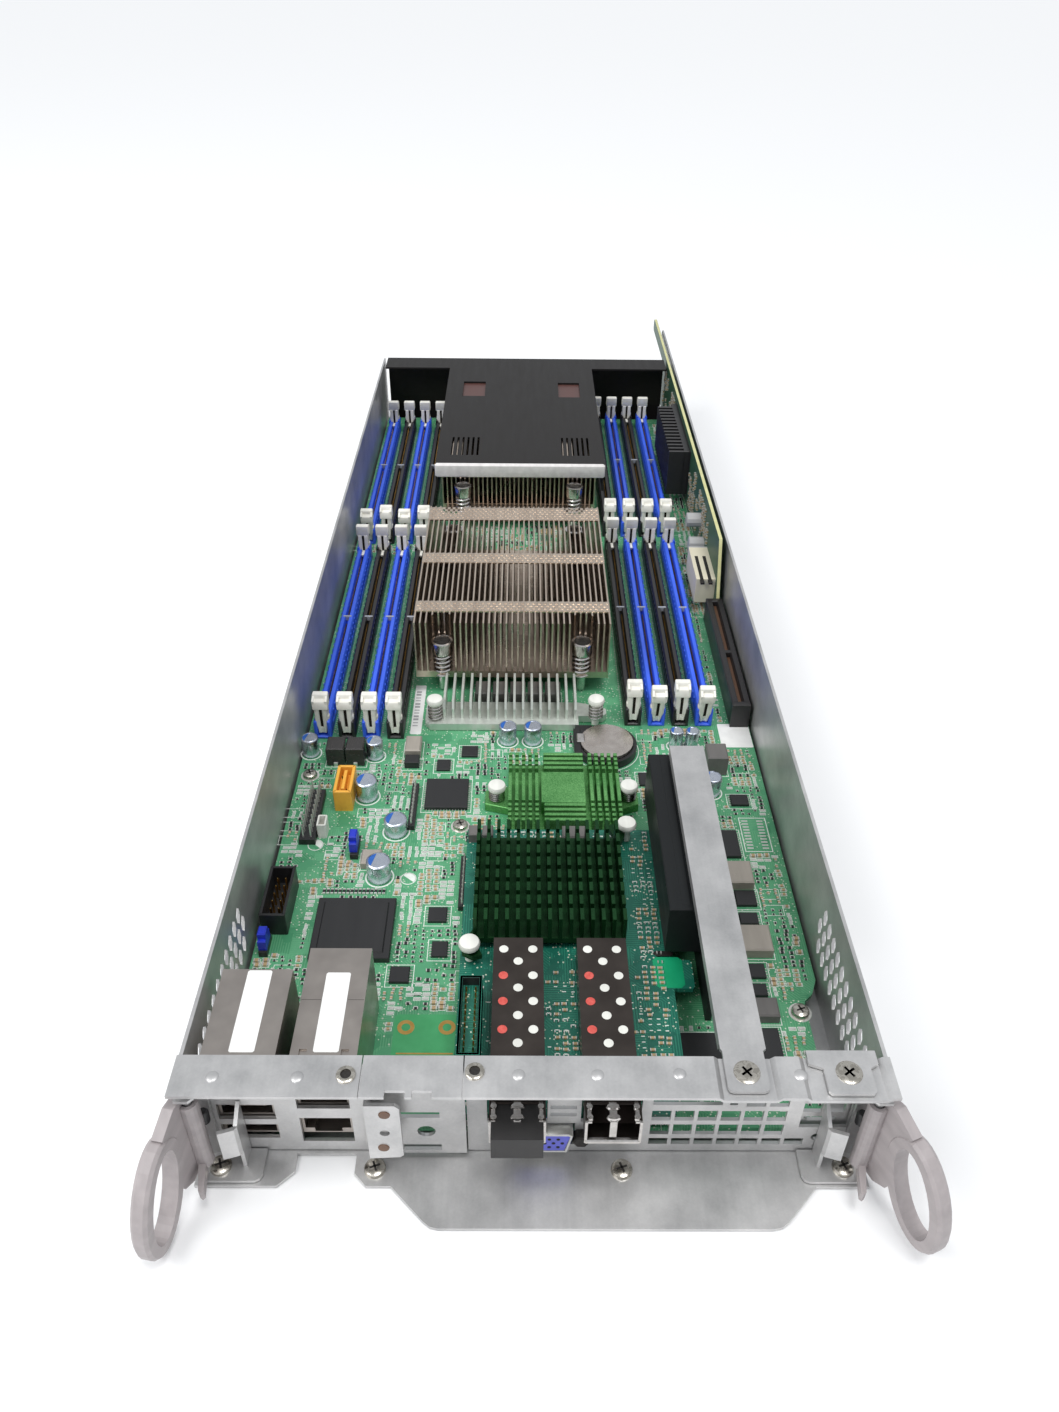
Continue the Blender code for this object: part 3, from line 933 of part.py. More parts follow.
def riser_support_bar():
    """Inverted channel over the riser, with a round-cornered foot screwed on the front flange."""
    low, x0, x1 = FOOT_LOW, BAR_X0, BAR_X0 + BAR_WIDTH
    start, f0, f1, f = FLANGE_DEPTH + 2.0, BAR_X0 + 0.4, BAR_X0 + BAR_WIDTH - 0.8, 1.6
    foot = [(f0, start - 0.6), (f0, f + 1.4), (f0 + 0.4, f + 0.4), (f0 + 1.4, f), (f1 - 1.4, f),
            (f1 - 0.4, f + 0.4), (f1, f + 1.4), (f1, start - 0.6)]
    top = plate("XY", foot + [(x1, start), (x1, BAR_Y1), (x0, BAR_Y1), (x0, start)], low, low + SHEET)
    left = box(x0, start + 2.0, low - 2.2, x0 + SHEET, BAR_Y1, low + SHEET * 0.5)
    right = box(x1 - SHEET, start + 2.0, low - 5.0, x1, BAR_Y1, low + SHEET * 0.5)
    piece("riser_support_bar", STEEL, top, [left, right])


# Rear adapter card.
def adapter_card():
    """Tall card along the right wall; a narrow edge-connector arm runs on behind the tray."""
    front, nose = ADAPTER_FRONT, ADAPTER_FRONT - ADAPTER_NOSE
    back, arm = ADAPTER_BACK, ADAPTER_BACK + ADAPTER_TAIL
    low, step = BOARD_TOP + 1.7, ADAPTER_TOP - 7.0
    card = plate("YZ", [(nose, low), (back, low), (back, step), (arm - 1.5, step), (arm, step + 1.5),
                        (arm, ADAPTER_TOP - 1.5), (arm - 1.5, ADAPTER_TOP), (front, ADAPTER_TOP), (nose, 16.0)],
                 ADAPTER_X, ADAPTER_X + ADAPTER_THICK)
    adds = [box(ADAPTER_X - 8.8, front - 5.0, BOARD_TOP + 4.7, ADAPTER_X + LAP, front + 25.0, BOARD_TOP + 16.7)]
    for y, z in ((front + 35.0, 20.0), (front + 48.0, 26.0)):
        adds.append(plate("YZ", disc(y, z, 3.4, 12), ADAPTER_X - 7.2, ADAPTER_X + LAP))
    piece("adapter_card", BOARD_GREEN, card, adds)


def adapter_heatsink():
    """Black heatsink on the adapter card, with upright fins across the sled."""
    y0, y1 = ADAPTER_FRONT + 61.0, ADAPTER_FRONT + 61.0 + ADAPTER_SINK_LENGTH
    base_x, root, tip = ADAPTER_X - CLEAR, ADAPTER_X - CLEAR - 3.0, ADAPTER_X - CLEAR - ADAPTER_SINK_REACH
    pitch = (y1 - y0 - 1.6) / (ADAPTER_SINK_FINS - 1)
    outline = [(base_x, y0), (base_x, y1)]
    for i in reversed(range(ADAPTER_SINK_FINS)):
        left = y0 + i * pitch
        if i < ADAPTER_SINK_FINS - 1:
            outline.append((root, left + 1.6))
        outline += [(tip, left + 1.6), (tip, left)]
        if i > 0:
            outline.append((root, left))
    piece("adapter_heatsink", BLACK_PLASTIC, plate("XY", outline, BOARD_TOP + 4.7, ADAPTER_TOP - 3.6))


# Air shroud.
def air_shroud():
    """Folded guide: roof over the rear heatsink with a front lip, side skirts and a cross band at the back."""
    z1 = SHROUD_TOP
    x0, x1, wing0, wing1 = SHROUD_X0, SHROUD_X1, 1.6 - INNER, ADAPTER_X - 1.2
    front, band_y, back = SHROUD_FRONT, SHROUD_BACK - SHROUD_BAND, SHROUD_BACK
    windows = [rect(x0 + 9.4, back - 60.4, x0 + 22.0, back - 38.4),
               rect(x1 - 20.8, back - 61.4, x1 - 8.6, back - 39.4)]
    for left in (x0 + 7.0, x1 - 21.0):
        for i in range(6):
            windows.append(rect(left + 2.6 * i, front + 11.0, left + 1.1 + 2.6 * i, front + 33.0))
    roof = plate("XY", [(x0, front), (x1, front), (x1, band_y), (wing1, band_y), (wing1, back), (wing0, back),
                        (wing0, band_y), (x0, band_y)], z1 - SHEET, z1, windows)
    skirt, duct = CPU_SINK_TOP - 14.6, rect(x0 + 4.0, 15.0, x1 - 4.0, z1 - 4.2)
    adds = [box(x0, front, z1 - 6.0, x1, front + SHEET, z1 - 0.2),
            box(x0, front + 0.4, skirt, x0 + SHEET, back - 0.4, z1 - 0.2),
            box(x1 - SHEET, front + 0.4, skirt, x1, back - 0.4, z1 - 0.2),
            plate("XZ", rect(wing0, 12.0, wing1, z1 - 0.2), back - SHEET, back, [duct])]
    piece("air_shroud", BLACK_PLASTIC, roof, adds)


sled_tray()
front_panel_left()
front_panel_right()
port_bracket()
slot_cover()
pull_ring("left_pull_ring", -1, RING_SPLAY_LEFT)
pull_ring("right_pull_ring", 1, RING_SPLAY_RIGHT)
catch_bracket("left_catch_bracket", -1)
catch_bracket("right_catch_bracket", 1)
main_board()
latches()
coin_cell()
cpu_heatsink("front_cpu_heatsink", FRONT_SINK_X, FRONT_SINK_Y, CPU_SINK_TOP, 0.0)
cpu_heatsink("rear_cpu_heatsink", REAR_SINK_X, REAR_SINK_Y, REAR_SINK_TOP, REAR_FIN_SETBACK)
vrm_heatsink()
chipset_heatsink()
network_card()
network_heatsink()
sfp_cage("sfp_cage_left", CAGE_LEFT_X)
sfp_cage("sfp_cage_right", CAGE_RIGHT_X)
sfp_dust_plug()
usb_lan_ports()
lan_ports()
vga_port()
riser_card()
riser_support_bar()
adapter_card()
adapter_heatsink()
air_shroud()
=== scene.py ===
"""Looks of a half-width server sled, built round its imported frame.  Lengths in the sections are in millimetres."""
from math import cos, pi, radians, sin

import bpy
import numpy as np
from mathutils import Matrix, Vector


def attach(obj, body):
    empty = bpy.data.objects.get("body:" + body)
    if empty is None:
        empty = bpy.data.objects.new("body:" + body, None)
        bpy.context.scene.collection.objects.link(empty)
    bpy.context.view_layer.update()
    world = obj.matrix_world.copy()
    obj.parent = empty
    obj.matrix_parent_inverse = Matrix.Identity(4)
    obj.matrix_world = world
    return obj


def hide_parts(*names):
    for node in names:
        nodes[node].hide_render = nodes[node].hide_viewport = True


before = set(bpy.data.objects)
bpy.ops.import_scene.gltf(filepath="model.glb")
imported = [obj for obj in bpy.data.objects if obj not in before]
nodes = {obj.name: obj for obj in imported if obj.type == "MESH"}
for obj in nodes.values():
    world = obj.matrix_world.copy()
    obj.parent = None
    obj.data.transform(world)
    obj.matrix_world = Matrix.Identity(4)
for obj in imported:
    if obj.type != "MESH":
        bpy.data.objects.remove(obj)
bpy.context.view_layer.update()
MM = 0.001

# The photographer's place: in front of the sled and above it, looking down along it.
eye = bpy.data.cameras.new("eye")
eye.sensor_width = 36.0
eye.lens = 36.0 * 1087.7 / 1412.0
eye.clip_start = 0.01
eye.clip_end = 60.0
pitch, yaw, roll = radians(37.209), radians(-0.600), radians(0.695)
turn = Matrix.Rotation(yaw, 3, "Z")
right, up, ahead = turn @ Vector((1, 0, 0)), turn @ Vector((0, sin(pitch), cos(pitch))), turn @ Vector(
    (0, cos(pitch), -sin(pitch)))
across = cos(roll) * right + sin(roll) * up
upward = cos(roll) * up - sin(roll) * right
camera = bpy.data.objects.new("eye", eye)
bpy.context.collection.objects.link(camera)
camera.matrix_world = Matrix.Translation(Vector((-3.9, -150.0, 272.0)) * MM) @ Matrix(
    (across, upward, -ahead)).transposed().to_4x4()
bpy.context.scene.camera = camera

# Plain pale floor, soft lamp from above and pale surroundings that metal can mirror.
bpy.context.scene.view_settings.view_transform = "Standard"
world = bpy.data.worlds.new("studio")
bpy.context.scene.world = world
world.use_nodes = True
sky = world.node_tree
sky.nodes.clear()
path = sky.nodes.new("ShaderNodeLightPath")
seen = sky.nodes.new("ShaderNodeMath")
seen.operation = "MAXIMUM"
sky.links.new(path.outputs["Is Camera Ray"], seen.inputs[0])
sky.links.new(path.outputs["Is Transmission Ray"], seen.inputs[1])
ambient, backdrop = (sky.nodes.new("ShaderNodeBackground") for _ in range(2))
for light, colour, strength in ((ambient, (0.93, 0.96, 1.0, 1.0), 0.62), (backdrop, (1.0, 1.0, 1.0, 1.0), 1.0)):
    light.inputs["Color"].default_value = colour
    light.inputs["Strength"].default_value = strength
blend = sky.nodes.new("ShaderNodeMixShader")
result = sky.nodes.new("ShaderNodeOutputWorld")
sky.links.new(seen.outputs[0], blend.inputs[0])
sky.links.new(ambient.outputs[0], blend.inputs[1])
sky.links.new(backdrop.outputs[0], blend.inputs[2])
sky.links.new(blend.outputs[0], result.inputs["Surface"])


def lamp(name, kind, energy, place, aim, size):
    """Soft lamp at a place, turned towards an aim point."""
    data = bpy.data.lights.new(name, kind)
    data.energy = energy
    if kind == "SUN":
        data.angle = size
    else:
        data.shape = "RECTANGLE"
        data.size, data.size_y = size
    holder = bpy.data.objects.new(name, data)
    bpy.context.collection.objects.link(holder)
    direction = (Vector(aim) - Vector(place)).normalized()
    holder.matrix_world = Matrix.Translation(Vector(place)) @ direction.to_track_quat("-Z", "Y").to_matrix().to_4x4()


lamp("overhead", "SUN", 1.25, (0.25, 0.1, 1.4), (0.0, 0.32, 0.0), radians(22))
lamp("window", "AREA", 7.0, (-0.7, -0.25, 0.9), (0.0, 0.2, 0.0), (0.9, 0.5))

floor_mesh = bpy.data.meshes.new("floor")
floor_mesh.from_pydata([(-9, -9, -0.0004), (9, -9, -0.0004), (9, 12, -0.0004), (-9, 12, -0.0004)], [], [(0, 1, 2, 3)])
floor = bpy.data.objects.new("floor", floor_mesh)
bpy.context.collection.objects.link(floor)
paper = bpy.data.materials.new("floor_paper")
paper.use_nodes = True
for key, value in (("Base Color", (0.94, 0.94, 0.94, 1.0)), ("Roughness", 0.9), ("Specular IOR Level", 0.0)):
    paper.node_tree.nodes["Principled BSDF"].inputs[key].default_value = value
floor_mesh.materials.append(paper)

# Tray: one zinc-plated steel sheet, sheared, punched and bent up at both sides.  The plating has a faint
# flow of lighter and darker metal, and fine handling marks that run along the sled.


class Wire:
    """A node socket of one material; arithmetic on it adds Math nodes to the material."""

    def __init__(self, tree, socket=None):
        """A wire without a socket is only the way into a material."""
        self.tree = tree
        self.socket = socket

    def node(self, kind, settings=None, inputs=None, pick=0):
        """Adds a node: its settings first, then values or links of its sockets; returns one output."""
        made = self.tree.nodes.new("ShaderNode" + kind)
        for key, value in (settings or {}).items():
            setattr(made, key, value)
        for key, value in (inputs or {}).items():
            if isinstance(value, Wire):
                self.tree.links.new(value.socket, made.inputs[key])
            else:
                if isinstance(value, tuple) and len(value) == 3 and made.inputs[key].type == "RGBA":
                    value = (*value, 1.0)
                made.inputs[key].default_value = value
        return Wire(self.tree, made.outputs[pick])

    def maths(self, operation, *terms, clamp=False):
        return self.node("Math", {"operation": operation, "use_clamp": clamp}, dict(enumerate(terms)))

    def __add__(self, other):
        return self.maths("ADD", self, other)

    def __radd__(self, other):
        return self.maths("ADD", other, self)

    def __sub__(self, other):
        return self.maths("SUBTRACT", self, other)

    def __mul__(self, other):
        return self.maths("MULTIPLY", self, other)

    def __gt__(self, other):
        return self.maths("GREATER_THAN", self, other)

    def __lt__(self, other):
        return self.maths("LESS_THAN", self, other)

    def clamped(self):
        return self.maths("ADD", self, 0.0, clamp=True)

    def mix(self, a, b):
        """Colour a where this value is 0 and b where it is 1."""
        return self.node("Mix", {"data_type": "RGBA"}, {0: self, 6: a, 7: b}, 2)

    def place(self, scale=(1.0, 1.0, 1.0)):
        """Object coordinates in millimetres, scaled."""
        where = self.node("TexCoord", pick=3)
        return self.node("Mapping", {}, {"Vector": where, "Scale": tuple(s / MM for s in scale)})

    def noise(self, where, scale, detail=2.0, rough=0.5):
        return self.node("TexNoise", {}, {"Vector": where, "Scale": scale, "Detail": detail, "Roughness": rough})

    def part(self, where):
        """The three coordinates of a vector."""
        made = self.tree.nodes.new("ShaderNodeSeparateXYZ")
        self.tree.links.new(where.socket, made.inputs[0])
        return [Wire(self.tree, made.outputs[i]) for i in range(3)]


def srgb(*levels):
    """Colour as it looks on a screen, 0 to 1, turned into light."""
    return tuple(v / 12.92 if v <= 0.04045 else ((v + 0.055) / 1.055) ** 2.4 for v in levels)


def finish_of(name, rough, metal=0.0, paint=None, **plain):
    """Material with constant shader values; paint(wire) returns what varies, by shader socket name."""
    made = bpy.data.materials.new(name)
    made.use_nodes = True
    shader = made.node_tree.nodes["Principled BSDF"]
    shader.inputs["Roughness"].default_value = rough
    shader.inputs["Metallic"].default_value = metal
    for key, value in plain.items():
        shader.inputs[key.replace("_", " ")].default_value = value
    wire = Wire(made.node_tree)
    for key, value in (paint(wire) if paint else {}).items():
        if isinstance(value, Wire):
            made.node_tree.links.new(value.socket, shader.inputs[key])
        else:
            shader.inputs[key].default_value = (*value, 1.0) if isinstance(value, tuple) else value
    return made


def bumped(wire, height, depth_mm):
    """Normal that follows a height between 0 and 1."""
    return wire.node("Bump", {}, {"Strength": 1.0, "Distance": depth_mm * MM, "Height": height})


def plated(dark, light, rough):
    """Zinc plating: cloudy tone, long faint scuffs and small specks."""
    def paint(wire):
        at = wire.place()
        cloud = wire.noise(at, 0.05, 4.0, 0.6)
        scuff = wire.noise(wire.place((0.9, 0.03, 0.9)), 1.0, 2.0)
        speck = wire.noise(at, 1.6, 2.0)
        tone = (cloud * 0.8 + scuff * 0.08 + speck * 0.12 - 0.3) * 2.2
        return {"Base Color": tone.clamped().mix(dark, light),
                "Roughness": rough + cloud * 0.16 + scuff * 0.04 - 0.06,
                "Normal": bumped(wire, scuff * 0.25 + speck * 0.75, 0.015)}
    return paint


def drifting(dark, light, scale, detail=2.0, rough=None, stretch=(1.0, 1.0, 1.0)):
    """Tone between two screen colours that follows a noise; rough is (least, scale, span) of its roughness."""
    def paint(wire):
        varied = {"Base Color": wire.noise(wire.place(stretch), scale, detail).mix(srgb(*dark), srgb(*light))}
        if rough:
            varied["Roughness"] = rough[0] + wire.noise(wire.place(), rough[1]) * rough[2]
        return varied
    return paint


def dress(material, *names):
    """Gives a finish to pieces of the frame."""
    for name in names:
        slots = nodes[name].data.materials
        slots.clear()
        slots.append(material)


zinc = finish_of("zinc_plating", 0.36, 0.72, plated(srgb(0.68, 0.68, 0.68), srgb(0.88, 0.875, 0.87), 0.36))
dress(zinc, "sled_tray", "front_panel_left", "front_panel_right", "port_bracket", "slot_cover", "left_catch_bracket",
      "right_catch_bracket", "riser_support_bar")


class Skin:
    """A surface: points in millimetres, and faces grouped by their number of corners."""

    def __init__(self, points, faces):
        self.points = np.asarray(points, float).reshape(-1, 3)
        self.faces = [np.asarray(f, int) for f in faces if len(f)]

    def __add__(self, other):
        shift = len(self.points)
        return Skin(np.vstack([self.points, other.points]), self.faces + [f + shift for f in other.faces])

    def copies(self, places):
        """The same surface at each of the places."""
        places = np.asarray(places, float).reshape(-1, 3)
        count, size = len(places), len(self.points)
        points = places[:, None, :] + self.points[None]
        steps = np.arange(count)[:, None, None] * size
        return Skin(points, [(steps + f[None]).reshape(-1, f.shape[1]) for f in self.faces])

    def turned(self, degrees, axis="Z"):
        return Skin(self.points @ np.array(Matrix.Rotation(radians(degrees), 3, axis)).T, self.faces)

    def mirrored(self):
        """Reflected in the plane x = 0, its faces turned round to point outwards again."""
        return Skin(self.points * (-1.0, 1.0, 1.0), [f[:, ::-1] for f in self.faces])


def together(skins):
    """One surface made of many, joined as whole arrays."""
    skins = list(skins)
    shifts = np.cumsum([0] + [len(s.points) for s in skins[:-1]])
    sizes = sorted({f.shape[1] for s in skins for f in s.faces})
    faces = [np.vstack([f + k for s, k in zip(skins, shifts) for f in s.faces if f.shape[1] == n]) for n in sizes]
    return Skin(np.vstack([s.points for s in skins]), faces)


SHARP_FROM = radians(40.0)


def piece(name, skin, material, body="sled", extra=None):
    """Puts a surface into an object at the origin that rides on a body; extra is a second surface and its finish."""
    own = sum(len(f) for f in skin.faces)
    if extra:
        skin = skin + extra[0]
    mesh = bpy.data.meshes.new(name)
    loops = np.concatenate([f.ravel() for f in skin.faces])
    sizes = np.concatenate([np.full(len(f), f.shape[1]) for f in skin.faces])
    mesh.vertices.add(len(skin.points))
    mesh.vertices.foreach_set("co", (skin.points * MM).astype(np.float32).ravel())
    mesh.loops.add(len(loops))
    mesh.loops.foreach_set("vertex_index", loops.astype(np.int32))
    mesh.polygons.add(len(sizes))
    mesh.polygons.foreach_set("loop_start", (np.cumsum(sizes) - sizes).astype(np.int32))
    mesh.polygons.foreach_set("material_index", (np.arange(len(sizes)) >= own).astype(np.int32))
    mesh.update(calc_edges=True)
    mesh.validate()
    mesh.shade_smooth()
    mesh.set_sharp_from_angle(angle=SHARP_FROM)
    mesh.materials.append(material)
    if extra:
        mesh.materials.append(extra[1])
    made = bpy.data.objects.new(name, mesh)
    bpy.context.collection.objects.link(made)
    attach(made, body)
    return made


def drawn_in(outline, depth):
    """A counter-clockwise outline moved inwards: each corner goes along the mitre of its two sides."""
    along = np.roll(outline, -1, 0) - outline
    along = along / np.linalg.norm(along, axis=1)[:, None]
    after = np.stack([-along[:, 1], along[:, 0]], 1)
    before = np.roll(after, 1, 0)
    return outline + depth * (before + after) / (1.0 + (before * after).sum(1))[:, None]


def lofted(outline, levels, plane="XY"):
    """An outline carried through levels (height, inset), with a flat cap at each end.

    The point of corner i at level k is outline i moved inwards by the level's inset, at its height.
    """
    outline = np.asarray(outline, float)
    area = (outline[:, 0] * np.roll(outline[:, 1], -1) - outline[:, 1] * np.roll(outline[:, 0], -1)).sum()
    outline = outline if area > 0 else outline[::-1]
    n, rows = len(outline), len(levels)
    flat = np.concatenate([drawn_in(outline, inset) if inset else outline for _, inset in levels])
    height = np.repeat([h for h, _ in levels], n)
    order = {"XY": (flat[:, 0], flat[:, 1], height), "XZ": (flat[:, 0], height, flat[:, 1]),
             "YZ": (height, flat[:, 0], flat[:, 1])}[plane]
    i = np.arange(n)
    j = (i + 1) % n
    start = np.arange(rows - 1)[:, None] * n
    sides = np.stack([start + i, start + j, start + n + j, start + n + i], -1).reshape(-1, 4)
    caps = [i[None, ::-1], (i + n * (rows - 1))[None]]
    faces = [sides] + caps
    if (plane == "XZ") != (levels[-1][0] < levels[0][0]):
        faces = [f[:, ::-1] for f in faces]
    return Skin(np.stack(order, 1), faces)


def film(outline, low, high, plane="XY"):
    """An outline carried straight from one height to another."""
    return lofted(outline, [(low, 0.0), (high, 0.0)], plane)


def corners(x0, y0, x1, y1, cut=0.0):
    """Rectangle, its corners cut off when a cut is given."""
    if not cut:
        return np.array([(x0, y0), (x1, y0), (x1, y1), (x0, y1)], float)
    return np.array([(x0 + cut, y0), (x1 - cut, y0), (x1, y0 + cut), (x1, y1 - cut), (x1 - cut, y1), (x0 + cut, y1),
                     (x0, y1 - cut), (x0, y0 + cut)], float)


def brick(x0, y0, z0, x1, y1, z1, edge=0.15):
    """Block whose upper edges are broken."""
    return lofted(corners(x0, y0, x1, y1), [(z0, 0.0), (z1 - edge, 0.0), (z1, edge)])


def turned_piece(x, y, profile, sides=20, closed=False):
    """Profile of (radius, height) turned round a vertical axis; flat caps close its ends, or it closes on itself."""
    profile = np.asarray(profile, float)
    a = np.linspace(0.0, 2 * pi, sides, endpoint=False)
    r, h = np.meshgrid(profile[:, 0], a, indexing="ij")[0], profile[:, 1][:, None] + 0 * a[None]
    points = np.stack([x + r * np.cos(a), y + r * np.sin(a), h], -1)
    i = np.arange(sides)
    j = (i + 1) % sides
    start = np.arange(len(profile) - (0 if closed else 1))[:, None] * sides
    ring = np.stack([start + i, start + j, start + sides + j, start + sides + i], -1).reshape(-1, 4)
    ring %= sides * len(profile)
    return Skin(points, [ring] if closed else [ring, i[None, ::-1], (i + sides * (len(profile) - 1))[None]])


def washer(x, y, inner, outer, low, high, sides=24):
    """Flat ring: a rectangle turned round the axis."""
    return turned_piece(x, y, [(outer, low), (outer, high), (inner, high), (inner, low)], sides, True)


def screw_head(x, y, z, radius, height):
    """Pan head: its profile turned; the crossed recess is a surface of its own."""
    return turned_piece(x, y, [(radius, z), (radius, z + height * 0.35), (radius * 0.9, z + height * 0.75),
                               (radius * 0.6, z + height), (radius * 0.05, z + height)], 20)


def cross_recess(x, y, z, radius, turn_by=20.0):
    """Dark cross of a recess, just proud of the crown."""
    arm = brick(-radius * 0.5, -radius * 0.1, 0.0, radius * 0.5, radius * 0.1, 0.06, 0.02)
    return together([arm, arm.turned(90.0)]).turned(turn_by).copies([(x, y, z)])


bright = finish_of("nickel_screw", 0.25, 1.0, lambda w: {
    "Base Color": (w.noise(w.place(), 0.8) > 0.5).mix(srgb(0.8, 0.78, 0.74), srgb(0.7, 0.68, 0.64)),
    "Roughness": w.noise(w.place(), 2.0) * 0.2 + 0.14})
recess = finish_of("recess_shadow", 0.6, 0.6, drifting((0.14, 0.135, 0.13), (0.26, 0.25, 0.24), 2.0))


def screws(kind, places, radius, height, seat, turn_by=20.0):
    """Heads of one kind of screw, and their recesses at the seat height above the foot of the head."""
    piece(f"{kind}_screws", together(screw_head(*at, radius, height) for at in places), bright)
    marks = together(cross_recess(x, y, z + seat, radius, turn_by) for x, y, z in places)
    piece(f"{kind}_screw_recesses", marks, recess)


screws("lip", [(-81.8, 4.6, 2.3), (-41.5, 4.7, 1.0), (23.5, 4.5, 1.0), (81.8, 4.6, 2.3)], 2.9, 1.5, 1.5)
screws("flange", [(51.8, 6.9, 41.2), (76.8, 6.9, 41.2)], 3.3, 0.4, 0.34, 35.0)
dimples = [(-77.9, 5.4), (-57.4, 5.4), (-3.8, 6.2), (15.4, 6.2), (35.4, 6.6), (64.9, 6.4)]
piece("flange_dimples", together(turned_piece(x, y, [(1.7, 40.85), (1.5, 41.05), (1.1, 41.25), (0.1, 41.32)], 18)
                                 for x, y in dimples), zinc)
rivets = [(-45.7, 6.0), (-14.5, 7.0)]
piece("flange_rivets", together(turned_piece(x, y, [(2.4, 40.85), (2.4, 41.3), (2.0, 41.55), (1.35, 41.5), (1.2, 41.0)],
                                             22, True) for x, y in rivets), bright)
piece("rivet_hollows", together(turned_piece(x, y, [(1.25, 40.9), (1.25, 41.1), (0.1, 41.1)], 18)
                                for x, y in rivets), recess)

# Main board: glass-fibre board with green solder mask, copper traces showing through it as lighter
# lines, plated vias, and white printed outlines round the parts.
BOARD_TOP = 7.3
HALF_BOARD = 86.0


def masked_copper(base, trace, lift, via_step):
    """Solder mask: rectangular fields whose traces run across, along or not at all, with rows of vias."""
    def paint(wire):
        at = wire.place()
        x, y, _ = wire.part(at)
        field = wire.node("TexVoronoi", {"distance": "CHEBYCHEV"}, {"Vector": at, "Scale": 0.16, "Randomness": 0.9}, 1)
        pick, dense, tint = wire.part(field)
        along = wire.maths("FRACT", x * 1.3) > 0.55
        over = wire.maths("FRACT", y * 1.3) > 0.55
        slant = wire.maths("FRACT", (x + y) * 0.9) > 0.6
        lines = (pick < 0.38) * along + (pick > 0.7) * over + (pick > 0.38) * (pick < 0.55) * slant
        lines = lines * (wire.noise(at, 0.16, 3.0) > 0.42)
        pour = wire.noise(wire.place((0.05, 0.05, 0.05)), 1.0, 3.0)
        ground = (dense * 0.5 + pour * 0.5).mix(base, lift)
        covered = (lines * 0.6).mix(ground, trace)
        spot = wire.node("TexVoronoi", {}, {"Vector": at, "Scale": via_step, "Randomness": 0.85}, 0)
        via = (spot < 0.2) * (tint > 0.25)
        hole = spot < 0.07
        colour = via.mix(covered, srgb(0.82, 0.86, 0.78))
        return {"Base Color": hole.mix(colour, srgb(0.2, 0.4, 0.28)),
                "Roughness": 0.34 + via * -0.08 + pour * 0.12,
                "Normal": bumped(wire, lines * 0.5 + via * 0.6, 0.035)}
    return paint


mask_green = finish_of("board_mask", 0.35, 0.0, masked_copper(
    srgb(0.2, 0.5, 0.34), srgb(0.41, 0.68, 0.5), srgb(0.38, 0.68, 0.5), 0.75))
shoulder = [(-HALF_BOARD, 13.0), (81.0, 13.0), (81.0, 54.0), (84.0, 57.0), (86.0, 62.0), (86.0, 492.0),
            (-HALF_BOARD, 492.0)]
board = piece("main_board_plate", film(shoulder, 5.5, BOARD_TOP), mask_green)
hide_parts("main_board")

# Memory sockets: long moulded bodies, blue and black in turn, with a contact slot, ribbed sides and an
# open tower at each end; the bright joints of their pins stand in two rows on the board.
SOCKET_PITCH = 9.27
SOCKET_LONG = 142.0
banks = {"front_left": (-79.8, 176.9), "rear_left": (-79.8, 331.5), "front_right": (40.3, 186.0),
         "rear_right": (40.3, 340.6)}
places = [(f"{bank}_{i + 1}", x + i * SOCKET_PITCH, y, (i % 2 == 0) == ("left" in bank))
          for bank, (x, y) in banks.items() for i in range(4)]


def socket_skin():
    """Body profile carried along the slot, towers with a cleft, and side ribs."""
    low, top, half = BOARD_TOP, BOARD_TOP + 8.2, 3.2
    profile = [(-half, low), (half, low), (half, low + 3.0), (half - 0.35, low + 3.3), (half - 0.35, top - 1.4),
               (half - 0.9, top - 0.7), (0.95, top - 0.7), (0.75, top - 1.2), (0.75, top - 5.4), (-0.75, top - 5.4),
               (-0.75, top - 1.2), (-0.95, top - 0.7), (-half + 0.9, top - 0.7), (-half + 0.35, top - 1.4),
               (-half + 0.35, low + 3.3), (-half, low + 3.0)]
    body = film(profile, 6.4, SOCKET_LONG - 6.4, "XZ")
    tower = [(-half, low), (half, low), (half, top - 0.5), (half - 0.4, top), (2.0, top), (1.92, top - 0.3),
             (1.92, low + 1.1), (-1.92, low + 1.1), (-1.92, top - 0.3), (-2.0, top), (-half + 0.4, top),
             (-half, top - 0.5)]
    ends = [lofted(tower, [(0.0, 0.25), (0.3, 0.0), (6.5, 0.0)], "XZ"),
            lofted(tower, [(SOCKET_LONG - 6.5, 0.0), (SOCKET_LONG - 0.3, 0.0), (SOCKET_LONG, 0.25)], "XZ")]
    rib = brick(2.3, 0.0, low + 3.0, half - 0.02, 1.1, top - 1.5, 0.1)
    ribs = together([rib, rib.mirrored()]).copies([(0.0, y, 0.0) for y in np.arange(10.0, SOCKET_LONG - 10.0, 4.1)])
    return together([body, *ends, ribs])


def moulded(levels, rough=0.38, grain=0.02):
    """Injection-moulded plastic: even colour with slight flow marks and a fine grain."""
    colour = srgb(*levels)

    def paint(wire):
        at = wire.place()
        flow = wire.noise(wire.place((0.3, 0.04, 0.3)), 1.0, 3.0)
        fine = wire.noise(at, 6.0, 1.0)
        dark = tuple(v * 0.72 for v in colour)
        return {"Base Color": flow.mix(dark, tuple(min(1.0, v * 1.2) for v in colour)),
                "Roughness": rough - 0.08 + flow * 0.16, "Normal": bumped(wire, fine, grain)}
    return paint


